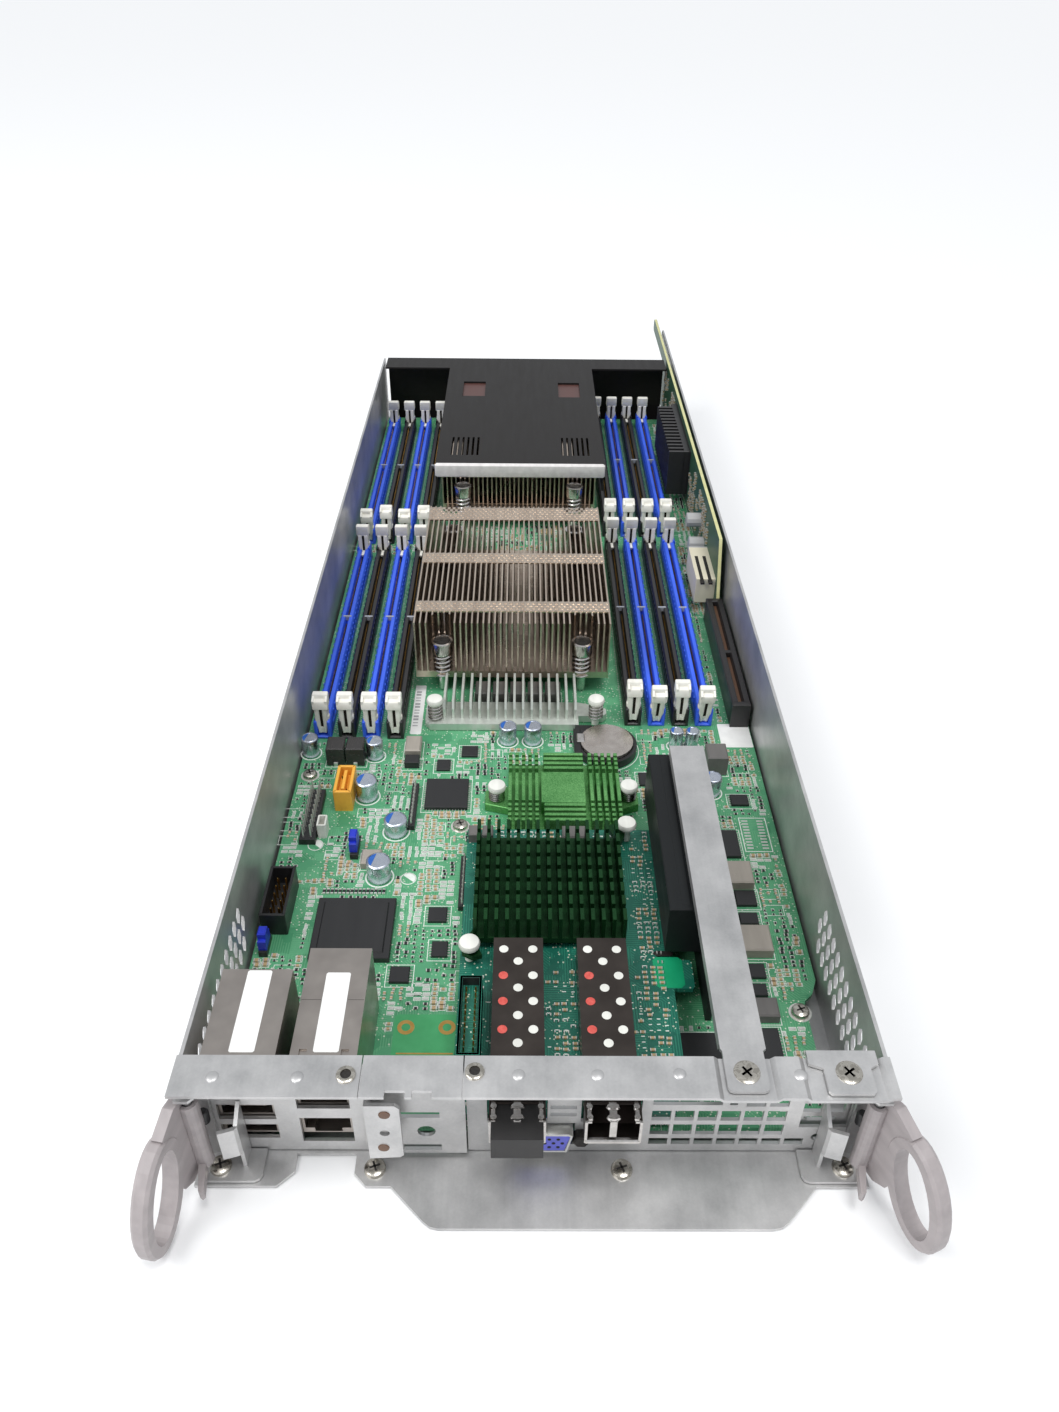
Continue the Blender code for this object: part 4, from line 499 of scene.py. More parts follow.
blue_plastic = finish_of("socket_blue", 0.34, 0.0, moulded((0.23, 0.4, 0.93)))
black_plastic = finish_of("socket_black", 0.36, 0.0, moulded((0.15, 0.145, 0.15)))
one_socket = socket_skin()
for shade, is_blue in ((blue_plastic, True), (black_plastic, False)):
    spots = [(x, y, 0.0) for _, x, y, blue in places if blue == is_blue]
    piece("sockets_" + ("blue" if is_blue else "black"), one_socket.copies(spots), shade)

gold = finish_of("contact_gold", 0.3, 1.0, drifting((0.72, 0.55, 0.28), (0.86, 0.7, 0.42), 0.5))
contact = brick(-0.74, 0.0, BOARD_TOP + 2.85, -0.42, 0.45, BOARD_TOP + 4.4, 0.1)
contact = together([contact, contact.mirrored()])
run = np.concatenate([np.arange(9.0, 75.0, 0.85), np.arange(79.5, SOCKET_LONG - 9.0, 0.85)])
piece("socket_contacts", contact.copies([(x, y + s, 0.0) for _, x, y, _ in places for s in run]), gold)
solder = finish_of("solder_tin", 0.3, 0.6, drifting((0.78, 0.78, 0.75), (0.93, 0.93, 0.91), 1.0))
joint = lofted(corners(-0.24, 0.0, 0.24, 0.5), [(BOARD_TOP - 0.1, 0.0), (BOARD_TOP + 0.25, 0.12)])
rows_of = [(x + side, y + s, 0.0) for _, x, y, _ in places for side, start in ((3.75, 4.0), (-3.75, 4.6))
           for s in np.arange(start, SOCKET_LONG - 4.0, 1.3)]
piece("socket_joints", joint.copies(rows_of), solder)
# Key bridges across each socket: real parts, given a pale grey lighter than the socket plastic as a painted highlight
# for the glare on them.
key_highlight_grey = finish_of("socket_key_painted_highlight", 0.4, 0.0, moulded((0.66, 0.68, 0.72), 0.4))
piece("socket_keys", brick(-1.75, 75.6, BOARD_TOP + 5.6, 1.75, 76.5, BOARD_TOP + 7.75, 0.15).copies(
    [(x, y, 0.0) for _, x, y, _ in places]), key_highlight_grey)

# Latches: cream nylon levers, each pinned in its tower: two cheeks with a slot between them, its shade painted
# on a dark sheet inside, a foot under the module, and a stepped head that hooks into the module's notch.
cream = finish_of("latch_cream_nylon", 0.4, 0.0, moulded((0.98, 0.955, 0.9), 0.4, 0.012))


def latch_skin():
    """Lever whose pivot is the origin, module towards +y: cheeks, web below, head above, side lugs, foot."""
    cheek = [(-1.5, -1.3), (-0.56, -1.3), (-0.56, 10.6), (-2.35, 10.6), (-2.4, 3.4), (-1.85, 1.6)]
    left = lofted(cheek, [(-3.7, 0.3), (-3.4, 0.0), (0.9, 0.0), (1.1, 0.2)], "XZ")
    web = film(corners(-0.7, -1.2, 0.7, 1.4), -3.3, 0.9, "XZ")
    head = lofted([(-4.0, 10.2), (0.6, 10.2), (1.0, 10.8), (1.0, 15.2), (0.7, 15.5), (-1.4, 15.5), (-1.7, 15.2),
                   (-1.9, 13.9), (-3.7, 13.6), (-4.0, 13.2)], [(-2.95, 0.3), (-2.65, 0.0), (2.65, 0.0), (2.95, 0.3)],
                  "YZ")
    rims = lofted([(-4.05, 13.0), (-1.6, 13.2), (-1.5, 15.1), (-2.0, 14.9), (-4.05, 14.1)],
                  [(-2.9, 0.1), (-2.8, 0.0), (-2.05, 0.0), (-1.95, 0.1)], "YZ")
    lug = lofted([(-2.6, 4.2), (-0.4, 4.2), (-0.4, 6.0), (-2.6, 6.0)], [(-2.8, 0.3), (-2.5, 0.0), (-2.2, 0.0)], "YZ")
    foot = lofted([(0.8, 0.4), (6.4, 2.2), (6.6, 3.2), (4.6, 3.4), (0.8, 2.6)], [(-0.6, 0.15), (0.0, 0.0), (0.6, 0.15)],
                  "YZ")
    half = together([left, rims, lug])
    return together([half, half.mirrored(), web, head, foot])


one_latch = latch_skin()
# Dark sheet in each latch's slot: painted shade standing in for the dark seen through the open slot.
slot_shade_sheet = film(corners(-0.6, -0.9, 0.6, 10.3), -3.0, 0.6, "XZ")
unlit = finish_of("unlit_slot", 0.8, 0.0, drifting((0.1, 0.09, 0.08), (0.2, 0.18, 0.16), 1.0), Specular_IOR_Level=0.1)
PIVOT_IN, PIVOT_UP = 4.2, 3.7
OPEN_BY = 13.0
OPEN = ("front_right_2_front", "front_right_4_front", "rear_left_1_front", "rear_left_3_front")
for label, x, y, _ in places:
    for end, way, y_end in (("front", 1.0, y), ("rear", -1.0, y + SOCKET_LONG)):
        name = f"{label}_{end}"
        lean = OPEN_BY * way if name in OPEN else 0.0
        lever, shaded = (s.turned(0.0 if way > 0 else 180.0).turned(lean, "X").copies(
            [(x, y_end + way * PIVOT_IN, BOARD_TOP + PIVOT_UP)]) for s in (one_latch, slot_shade_sheet))
        made = piece("lever_" + name, lever, cream, "latch_" + name, extra=(shaded, unlit))
        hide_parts("latch_" + name)

# Parts soldered to the board: cans with their printed rings, packages with tinned leads, coils, and the
# small chip parts, pads and white printed outlines between them.
package = finish_of("chip_black", 0.42, 0.0, moulded((0.14, 0.14, 0.145), 0.42))
coil_grey = finish_of("coil_grey", 0.5, 0.1, moulded((0.42, 0.41, 0.4), 0.5, 0.04))
white_print = finish_of("white_print", 0.55, 0.0, drifting((0.85, 0.88, 0.84), (0.95, 0.96, 0.94), 0.6))
cans = [(-83.0, 168.0, 3.2, 8.0), (-58.6, 166.5, 3.2, 8.0), (-59.0, 143.7, 3.9, 8.5), (-46.9, 125.6, 4.0, 6.5),
        (-50.4, 104.0, 4.0, 8.0), (-8.7, 176.0, 3.4, 8.0), (0.9, 176.0, 3.4, 8.0), (55.6, 173.5, 2.6, 8.0),
        (61.7, 173.5, 2.6, 8.0), (65.7, 146.9, 3.4, 8.0)]
can_metal = finish_of("can_aluminium", 0.28, 1.0, drifting(
    (0.72, 0.75, 0.8), (0.86, 0.88, 0.92), 0.4, rough=(0.2, 2.0, 0.18)))
can_mark = finish_of("can_mark_blue", 0.35, 0.2, drifting((0.1, 0.3, 0.62), (0.22, 0.46, 0.8), 0.4))


def can_skin(x, y, r, h):
    """Profile of a can, turned: crimp above the foot, straight side, rolled rim round a sunk top."""
    low, top = BOARD_TOP, BOARD_TOP + h
    return turned_piece(x, y, [(r * 0.92, low), (r, low + 0.6), (r * 0.93, low + 2.1), (r, low + 2.7), (r, top - 0.5),
                               (r * 0.9, top - 0.05), (r * 0.86, top), (r * 0.82, top - 0.25), (0.1, top - 0.25)], 24)


def arc_plate(x, y, r, start, end, steps, low, high):
    """An arc from one angle to another in degrees, closed by its chord."""
    a = np.linspace(radians(start), radians(end), steps)
    return film(np.stack([x + r * np.cos(a), y + r * np.sin(a)], 1), low, high)


piece("cans", together(can_skin(*can) for can in cans), can_metal)
piece("can_marks", together(arc_plate(x, y, r * 0.8, 105, 228, 14, BOARD_TOP + h - 0.24, BOARD_TOP + h - 0.18)
                            for x, y, r, h in cans), can_mark)

chips = [(-38.0, 136.8, -22.6, 152.4, 1.5), (-68.5, 68.0, -43.6, 92.8, 2.2), (37.5, 28.0, 54.0, 42.0, 1.6),
         (-84.0, 54.0, -79.0, 60.0, 1.2), (-43.0, 60.0, -37.0, 66.0, 1.1), (64.9, 113.3, 71.6, 126.1, 1.4),
         (66.6, 91.4, 73.3, 97.9, 1.2), (66.6, 83.5, 72.5, 88.2, 1.2), (66.3, 62.2, 71.1, 67.5, 1.2),
         (65.1, 55.5, 70.4, 59.9, 1.2), (64.1, 31.0, 71.0, 43.8, 1.4), (72.2, 139.5, 78.5, 144.9, 1.2),
         (-33.0, 84.0, -27.0, 90.0, 1.1), (-31.0, 70.0, -26.0, 76.0, 1.0), (-35.0, 158.0, -30.0, 164.0, 1.0),
         (-26.0, 166.0, -20.0, 172.0, 1.1), (-47.0, 159.6, -41.6, 164.3, 3.0), (40.0, 150.0, 46.0, 157.0, 1.1),
         (50.5, 160.0, 57.0, 166.0, 1.2)]
LEADLESS = 1


def blocks(boxes, edge=0.15):
    """Blocks that stand on the board, each given by its plan and its height."""
    return together(brick(x0, y0, BOARD_TOP, x1, y1, BOARD_TOP + h, edge) for x0, y0, x1, y1, h in boxes)


piece("chips", together([blocks(chips, 0.2), brick(-66.6, 69.9, BOARD_TOP + 2.0, -45.5, 90.9, BOARD_TOP + 2.6, 0.5)]),
      package)


def leads(x0, y0, x1, y1, pitch=1.05):
    """Flat tinned leads along the two sides of a package, and along all four when it is a large one."""
    lead = lofted(corners(-0.8, 0.0, 0.1, 0.42), [(BOARD_TOP, 0.0), (BOARD_TOP + 0.35, 0.1)])
    ys = np.arange(y0 + 0.5, y1 - 0.7, pitch)
    rows = [lead.copies([(x0, y, 0.0) for y in ys]), lead.mirrored().copies([(x1, y, 0.0) for y in ys])]
    if x1 - x0 > 10.0 and y1 - y0 < 20.0:
        standing = lead.turned(90.0)
        xs = np.arange(x0 + 0.9, x1 - 0.5, pitch)
        rows += [standing.copies([(x, y0, 0.0) for x in xs]), standing.turned(180.0).copies([(x, y1, 0.0) for x in xs])]
    return together(rows)


piece("chip_leads", together(leads(*c[:4]) for i, c in enumerate(chips) if i != LEADLESS), solder)
pale = [(-47.4, 165.5, -41.4, 174.5, 4.0), (65.1, 98.9, 73.4, 109.0, 3.8), (64.7, 70.5, 74.6, 81.0, 3.8),
        (-57.2, 107.6, -50.4, 114.4, 3.0)]
coils = [(65.4, 156.6, 72.9, 165.4, 8.5), (64.5, 46.4, 72.1, 53.2, 3.5)] + [
             (-22.0 + 7.0 * i, 198.5, -15.9 + 7.0 * i, 207.0, 6.4) for i in range(5)]
piece("coils", blocks(coils, 0.5), coil_grey)
pale_grey = finish_of("choke_pale", 0.45, 0.2, moulded((0.66, 0.63, 0.59), 0.45, 0.04))
piece("pale_chokes", blocks(pale, 0.5), pale_grey)
twins = [(-76.0, 160.8, -69.3, 168.4, 8.2), (-68.7, 160.8, -62.0, 168.4, 8.2)]
gloss_black = finish_of("gloss_black", 0.25, 0.0, moulded((0.2, 0.19, 0.19), 0.26))
piece("twin_coils", together(brick(x0, y0, BOARD_TOP + 0.3, x1, y1, BOARD_TOP + h, 0.4) for x0, y0, x1, y1, h in twins),
      gloss_black)
piece("twin_coil_leads", together(brick((x0 + x1) / 2 - 0.7, y0 - 0.5, BOARD_TOP, (x0 + x1) / 2 + 0.7, y0 + 1.0,
                                        BOARD_TOP + 1.9, 0.1) for x0, y0, x1, y1, h in twins), solder)


def parts_grid(seed, boxes, avoid, step=(2.5, 1.75), fill=0.8):
    """Centres for small parts: a grid over each box, thinned at random, none in an avoided rectangle.

    The kind of each part comes from a random table read at its field of 7 x 6 mm, so neighbours are alike.
    """
    draw = np.random.default_rng(seed)
    at = np.vstack([np.stack(np.meshgrid(np.arange(x0, x1, step[0]), np.arange(y0, y1, step[1])), -1).reshape(-1, 2)
                    for x0, y0, x1, y1 in boxes])
    at = at[draw.random(len(at)) < fill]
    at += np.round(draw.uniform(-0.2, 0.2, at.shape), 1)
    for x0, y0, x1, y1 in avoid:
        at = at[~((at[:, 0] > x0) & (at[:, 0] < x1) & (at[:, 1] > y0) & (at[:, 1] < y1))]
    table = draw.integers(0, 8, (40, 120))
    cell = np.floor((at + (100.0, 0.0)) / (7.0, 6.0)).astype(int)
    return at, table[cell[:, 0], cell[:, 1]]


def footprint(boxes, edge):
    return [(b[0] - edge, b[1] - edge, b[2] + edge, b[3] + edge) for b in boxes]


taken = footprint(chips + coils + twins + pale, 1.9)
taken += [(x - r - 2, y - r - 2, x + r + 2, y + r + 2) for x, y, r, _ in cans]
taken += [(x - 4.6, y - 1.5, x + 4.6, y + SOCKET_LONG + 1.5) for _, x, y, _ in places]
taken += [(-86.0, 9.0, -63.0, 42.5), (-63.5, 9.0, -43.5, 53.0), (-41.5, 32.0, -20.0, 50.0), (-9.5, 120.0, 31.0, 160.0),
          (-18.5, 134.0, 40.5, 146.0), (-43.0, 181.0, 31.0, 198.0), (37.0, 46.0, 53.5, 136.0),
          (77.0, 184.0, 86.5, 266.0), (17.0, 159.0, 41.5, 184.0), (-85.5, 71.0, -73.0, 101.5),
          (-71.6, 125.5, -61.0, 152.0), (-80.6, 117.5, -69.0, 147.5), (-44.0, 125.0, -39.6, 151.0),
          (-24.6, 88.0, -20.2, 113.0), (-47.5, 179.0, -42.0, 213.0), (72.8, 172.0, 88.0, 188.5),
          (-43.5, 98.0, -38.0, 106.0), (-77.0, 103.0, -71.0, 122.0), (-69.5, 95.0, -46.5, 99.5),
          (75.0, 46.0, 83.0, 54.5), (80.2, 10.0, 90.0, 59.0), (72.6, 115.6, 84.2, 134.6),
          (-84.6, 152.0, -78.4, 158.4), (-27.6, 125.0, -21.6, 132.0), (-84.6, 69.0, -80.5, 78.5),
          (-62.2, 111.0, -57.6, 120.6)]
open_ground = [(-84.0, 44.0, -22.0, 174.0), (-22.0, 119.5, 36.0, 182.0), (53.0, 20.0, 84.4, 184.0),
               (36.0, 20.0, 53.0, 46.0), (36.0, 137.0, 53.0, 184.0), (76.5, 268.0, 84.5, 485.0),
               (72.5, 186.0, 76.5, 330.0), (-46.0, 310.0, 34.0, 352.0), (-84.0, 320.0, -50.0, 331.0),
               (-20.0, 14.0, 36.0, 64.0)]
tan = finish_of("ceramic_tan", 0.4, 0.0, drifting((0.6, 0.5, 0.36), (0.8, 0.7, 0.54), 0.7))


def small_part(length, width, height):
    """A chip part lying along x on the board, its body between two tinned ends."""
    half, top = width / 2, BOARD_TOP + height
    body = brick(-length * 0.3, -half, BOARD_TOP, length * 0.3, half, top, 0.05)
    end = brick(-length / 2, -half - 0.03, BOARD_TOP, -length * 0.27, half + 0.03, top + 0.03, 0.05)
    return body, together([end, end.mirrored()])


PRINT = 0.03


def printed_frame(x0, y0, x1, y1, line=0.22):
    """Thin printed rectangle: four flat strips just above the mask."""
    return together(film(corners(*b), BOARD_TOP, BOARD_TOP + PRINT) for b in (
        (x0, y0, x1, y0 + line), (x0, y1 - line, x1, y1), (x0, y0 + line, x0 + line, y1 - line),
        (x1 - line, y0 + line, x1, y1 - line)))


where, kind = parts_grid(7, open_ground, taken)
kinds = [(1.6, 0.8, 0.5, tan, 0), (1.3, 0.8, 0.6, tan, 90), (1.0, 0.6, 0.35, package, 0), (1.7, 0.8, 0.12, solder, 0),
         (1.9, 1.2, 0.8, tan, 0), (1.6, 1.0, 0.5, package, 0), (1.2, 0.6, 0.1, solder, 90), (1.5, 0.8, 0.4, package, 0)]
FRAMED = (0, 3, 4, 6)
bodies, ends, drawn = {}, [], []
for number, (length, width, height, shade, turn_by) in enumerate(kinds):
    core, tips = (s.turned(turn_by) for s in small_part(length, width, height))
    spots = where[kind == number]
    at = np.column_stack([spots, np.zeros(len(spots))])
    bodies.setdefault(shade.name, []).append(core.copies(at))
    ends.append(tips.copies(at))
    if number in FRAMED:
        long, wide = (length / 2 + 0.25, width / 2 + 0.25)[::-1 if turn_by else 1]
        drawn.append(printed_frame(-long, -wide, long, wide, 0.17).copies(at))
    else:
        drawn.append(brick(-0.55, 0.66, BOARD_TOP, 0.55, 0.84, BOARD_TOP + PRINT, 0.005).copies(at[::2]))
piece("small_parts_tan", together(bodies["ceramic_tan"]), tan)
piece("small_parts_black", together(bodies["chip_black"]), package)
piece("small_part_ends", together(ends + bodies["solder_tin"]), solder)
drawn += [printed_frame(*b) for b in footprint([c for c in chips if c[2] - c[0] < 20.0], 1.3)]
drawn += [printed_frame(*b) for b in footprint(coils + twins + pale, 0.8)]
drawn += [washer(x, y, r + 0.35, r + 0.85, BOARD_TOP, BOARD_TOP + 0.04, 28) for x, y, r, _ in cans]
groups, _ = parts_grid(23, open_ground, footprint(taken, 2.0), (8.5, 7.0), 0.55)
drawn += [printed_frame(-3.2, -2.3, 3.2, 2.3, 0.2).copies(np.column_stack([groups, np.zeros(len(groups))]))]
CELL = (29.0, 171.0)
drawn += [washer(*CELL, 12.2, 12.5, BOARD_TOP, BOARD_TOP + 0.04, 36)]
piece("printed_outlines", together(drawn), white_print)

# Bare places of the board: a clear bright field by the ports with its gilt line, gilt rings and screws that
# hold the board down, and printed discs, half white.
field_green = finish_of("field_green", 0.3, 0.0, drifting((0.2, 0.58, 0.34), (0.32, 0.7, 0.46), 0.2))
piece("clear_field", film(corners(-40.0, 33.0, -21.0, 49.0, 0.8), BOARD_TOP, BOARD_TOP + 0.05), field_green)
held = [(78.9, 50.1, BOARD_TOP), (-81.5, 155.2, BOARD_TOP), (-24.7, 128.5, BOARD_TOP)]
gilt = [washer(x, 44.5, 1.3, 2.5, BOARD_TOP, BOARD_TOP + 0.08) for x in (-36.5, -24.6)]
piece("gilt_marks", together(gilt + [brick(-38.6, 35.4, BOARD_TOP, -22.4, 35.9, BOARD_TOP + 0.08, 0.02)]), gold)
piece("screw_lands", together(washer(x, y, 2.6, 3.4, z, z + 0.1) for x, y, z in held), solder)
screws("board", held, 2.7, 1.8, 1.8)
discs = [(-74.0, 118.9), (-40.8, 103.3), (-59.8, 107.8)]
piece("printed_discs", together(
    [arc_plate(x, y, 2.5, -40, 140, 16, BOARD_TOP, BOARD_TOP + 0.04) for x, y in discs[:2]]
    + [washer(x, y, 2.4, 2.7, BOARD_TOP, BOARD_TOP + 0.04) for x, y in discs]), white_print)
pad = lofted(corners(-1.1, -0.35, 1.1, 0.35), [(BOARD_TOP, 0.0), (BOARD_TOP + 0.06, 0.02)])
piece("bare_pads", pad.copies([(x, 118.4 + 1.5 * i, 0.0) for x in (75.6, 80.9) for i in range(10)]), solder)
piece("bare_pads_outline", printed_frame(73.6, 116.6, 83.2, 133.6, 0.3), white_print)
core, tips = (s.turned(90.0) for s in small_part(2.2, 0.9, 0.6))
row = [(x, 97.2, 0.0) for x in np.arange(-67.8, -47.6, 1.3)]
piece("resistor_row", core.copies(row), package)
piece("resistor_row_ends", tips.copies(row), solder)

# Headers and connectors: shrouded black boxes with rows of pins, an orange data connector, blue jumper
# caps, and the long card slot by the right wall.
orange = finish_of("connector_orange", 0.4, 0.0, moulded((1.0, 0.7, 0.26), 0.4))
jumper_blue = finish_of("jumper_blue", 0.4, 0.0, moulded((0.12, 0.2, 0.75), 0.4))
white_nylon = finish_of("white_nylon", 0.42, 0.0, moulded((0.9, 0.9, 0.87), 0.42))
CARD_TOP = 15.0


def boxed_header(x0, y0, x1, y1, low, height, wall=0.9, floor_at=2.0):
    """Open box: outer wall up, over the rim and down to the floor, as one carried outline."""
    return lofted(corners(x0, y0, x1, y1, 0.3), [(low, 0.0), (low + height - 0.15, 0.0), (low + height, 0.15),
                                                (low + height, wall - 0.15), (low + height - 0.15, wall),
                                                (low + floor_at, wall)])


def pins(xs, ys, low, high, width=0.64):
    pin = lofted(corners(-width / 2, -width / 2, width / 2, width / 2), [(low, 0.0), (high - 0.3, 0.0), (high, 0.2)])
    return pin.copies([(x, y, 0.0) for x in xs for y in ys])


piece("box_headers", together([boxed_header(-84.6, 79.0, -76.5, 100.2, BOARD_TOP, 9.0),
                               boxed_header(-20.6, 23.6, -14.2, 50.0, CARD_TOP, 9.0)]), package)
piece("orange_connector", together([boxed_header(-69.7, 136.1, -63.3, 150.9, BOARD_TOP, 9.0, 1.1, 5.0),
                                    brick(-67.2, 138.6, BOARD_TOP + 4.8, -66.0, 148.6, BOARD_TOP + 8.6)]), orange)
piece("pin_rows", together([
    pins((-81.9, -79.3), 83.4 + 3.2 * np.arange(5), BOARD_TOP + 1.8, BOARD_TOP + 7.4),
    pins((-18.7, -16.1), 27.0 + 2.0 * np.arange(11), CARD_TOP + 1.9, CARD_TOP + 7.6, 0.5)]), gold)
piece("bright_pins", together([
    pins((-78.1, -75.5), 120.4 + 2.54 * np.arange(10), BOARD_TOP + 2.4, BOARD_TOP + 8.4, 0.45),
    pins((-41.8,), 127.6 + 2.0 * np.arange(11), BOARD_TOP + 1.5, BOARD_TOP + 5.0, 0.5),
    pins((-22.4,), 90.4 + 2.0 * np.arange(11), BOARD_TOP + 1.5, BOARD_TOP + 5.0, 0.5),
    pins((15.6, 18.1), 101.4 + 2.54 * np.arange(3), BOARD_TOP + 1.5, BOARD_TOP + 3.0, 0.5)]), solder)
piece("header_bases", blocks([(-79.6, 119.0, -74.0, 145.0, 2.5), (-43.0, 126.4, -40.6, 149.0, 2.2),
                              (-23.6, 89.2, -21.2, 112.0, 2.2), (-83.8, 70.0, -81.2, 77.6, 2.5),
                              (-61.2, 112.0, -58.6, 119.6, 2.5)]), package)
piece("jumper_caps", together([brick(x0, y0 + a, BOARD_TOP + low, x0 + 2.6, y1 - a, BOARD_TOP + high, 0.4)
                               for x0, y0, y1 in ((-83.8, 70.6, 76.4), (-61.4, 113.0, 119.4))
                               for low, high, a in ((2.5, 6.4, 0.0), (6.2, 8.6, 1.1))]), jumper_blue)
piece("white_connector", boxed_header(-73.7, 122.2, -70.5, 127.6, BOARD_TOP, 6.2, 0.6), white_nylon)


def card_slot():
    """Slot profile carried along y, closed by end blocks, with a key bridge across the mouth."""
    low, top = BOARD_TOP, BOARD_TOP + 11.0
    profile = [(-3.6, low), (3.6, low), (3.6, top - 0.5), (3.1, top), (1.3, top), (1.0, top - 0.6), (1.0, top - 8.0),
               (-1.0, top - 8.0), (-1.0, top - 0.6), (-1.3, top), (-3.1, top), (-3.6, top - 0.5)]
    moulding = film(profile, 187.5, 262.4, "XZ").copies([(82.0, 0.0, 0.0)])
    closed = [brick(78.4, y, low, 85.6, y + 2.6, top, 0.4) for y in (185.5, 261.8)]
    return together([moulding, *closed, brick(80.6, 221.8, top - 3.0, 83.4, 223.6, top - 0.1)])


piece("board_card_slot", card_slot(), black_plastic)
slot_brown = finish_of("slot_brown", 0.45, 0.0, moulded((0.42, 0.3, 0.22), 0.45))
piece("card_slot_inlay", together([brick(81.05, 188.2, BOARD_TOP + 3.0, 82.95, 221.6, BOARD_TOP + 8.6),
                                   brick(81.05, 223.8, BOARD_TOP + 3.0, 82.95, 261.6, BOARD_TOP + 8.6)]), slot_brown)


def barred(wire):
    """Label paper with a few plain grey bars across it; the bars come from rounded steps of y."""
    x, y, _ = wire.part(wire.place())
    keep = wire.maths("FRACT", wire.maths("FLOOR", y * 1.6) * 7.31) > 0.55
    inside = (x > -46.2) * (x < -44.2) * (y > 184.0) * (y < 208.0)
    paper = wire.noise(wire.place(), 0.25, 3.0).mix(srgb(0.86, 0.86, 0.85), srgb(0.96, 0.96, 0.95))
    return {"Base Color": (keep * inside * 0.7).mix(paper, srgb(0.42, 0.42, 0.44))}


label_paper = finish_of("bare_label", 0.5, 0.0, barred)
piece("board_labels", together(film(corners(*b, 0.4), BOARD_TOP, BOARD_TOP + 0.08) for b in (
    (-46.8, 180.0, -42.5, 212.0), (73.6, 173.0, 85.8, 187.5))), label_paper)

# Processor heatsinks: nickel-plated copper base, thin aluminium fins soldered on and crimped together
# along three folded strips, held down by sprung screws.
nickel = finish_of("nickel_fin", 0.3, 1.0, drifting(
    (0.74, 0.67, 0.61), (0.93, 0.87, 0.8), 1.0, 3.0, (0.2, 0.3, 0.2), (0.4, 0.03, 0.4)))
dress(nickel, "front_cpu_heatsink", "rear_cpu_heatsink")
FIN_GAPS = 34
FIN_STEP = (77.5 - 0.6) / FIN_GAPS
FRONT_SINK, REAR_SINK = -7.3, -5.4


def crimp_tabs(y0, y1, rows):
    """Folded tabs of neighbouring fins: a low rounded block over each gap, every second row half a step on."""
    top = 40.7
    tab = lofted(corners(-0.75, -0.9, 0.75, 0.9, 0.3), [(top, 0.0), (top + 0.25, 0.1), (top + 0.35, 0.35)])
    ys = np.linspace(y0 + 1.0, y1 - 1.0, rows)
    xs = FRONT_SINK - 38.45 + FIN_STEP * np.arange(FIN_GAPS)
    return tab.copies([(x + FIN_STEP * (0.25 + 0.5 * (r % 2)), y, 0.0) for r, y in enumerate(ys) for x in xs])


strips = [crimp_tabs(216.7, 224.2, 4), crimp_tabs(255.2, 263.4, 4), crimp_tabs(294.0, 306.0, 6)]
piece("crimped_strips", together(strips), nickel)


def coil_spring(x, y, low, high, radius, wire_radius, turns):
    """Helix of round wire: centre (R cos t, R sin t, rising), and a small circle carried round it."""
    sides, steps_per_turn = 6, 16
    t = np.linspace(0.0, 2 * pi * turns, int(turns * steps_per_turn) + 1)
    rise = low + wire_radius + (high - low - 2 * wire_radius) * t / t[-1]
    ring = np.linspace(0.0, 2 * pi, sides, endpoint=False)
    out = radius + wire_radius * np.cos(ring)[None]
    points = np.stack([x + out * np.cos(t)[:, None], y + out * np.sin(t)[:, None],
                       rise[:, None] + wire_radius * np.sin(ring)[None]], -1)
    i = np.arange(sides)
    j = (i + 1) % sides
    start = np.arange(len(t) - 1)[:, None] * sides
    tube = np.stack([start + i, start + sides + i, start + sides + j, start + j], -1).reshape(-1, 4)
    return Skin(points, [tube, i[None], (i + sides * (len(t) - 1))[None, ::-1]])


steel_bright = finish_of("screw_steel", 0.22, 1.0, drifting((0.72, 0.7, 0.68), (0.9, 0.89, 0.88), 0.6))
spring_screws = [(cx + half, y) for cx, y in ((FRONT_SINK, 210.75), (FRONT_SINK, 304.75), (REAR_SINK, 350.2))
                 for half in (-28.0, 28.0)]
WELL = 28.4
piece("spring_screws", together(turned_piece(x, y, [(2.0, 8.0), (2.0, 25.0), (3.8, 25.1), (4.0, 25.6), (4.0, 29.7),
                                                    (4.3, 29.9), (4.3, 30.6), (3.4, 30.8), (3.2, 30.1), (3.1, WELL),
                                                    (0.1, WELL)], 24) for x, y in spring_screws), steel_bright)
floor_of = [(3.05, WELL + 0.01), (3.05, WELL + 0.06), (1.5, WELL + 0.06), (0.1, WELL + 0.06)]
piece("spring_screw_wells", together([cross_recess(x, y, WELL + 0.06, 3.9, 35.0) for x, y in spring_screws]
                                     + [turned_piece(x, y, floor_of, 20) for x, y in spring_screws]), recess)
piece("screw_springs", together(coil_spring(x, y, 13.4, 25.0, 3.3, 0.6, 5.0) for x, y in spring_screws), steel_bright)

# Regulator heatsink and chipset heatsink: extruded and cut aluminium, held by white push pins; the green one
# has thin blades beside, before and behind a flat middle, and posts where the two sets of cuts cross.
dress(finish_of("plain_aluminium", 0.4, 0.55, drifting(
    (0.74, 0.76, 0.73), (0.9, 0.92, 0.89), 1.0, 3.0, stretch=(0.4, 0.4, 0.06))), "vrm_heatsink")


def anodised(dark, light):
    """Dyed oxide: sparkling fine grain over an even colour."""
    def paint(wire):
        grain = wire.noise(wire.place(), 3.2, 2.0)
        cloud = wire.noise(wire.place(), 0.08, 3.0)
        return {"Base Color": ((grain - 0.5) * 1.6 + cloud).clamped().mix(dark, light),
                "Roughness": 0.34 + grain * 0.14, "Normal": bumped(wire, grain, 0.03)}
    return paint


lime = finish_of("anodised_lime", 0.4, 0.7, anodised(srgb(0.2, 0.47, 0.22), srgb(0.54, 0.8, 0.5)))


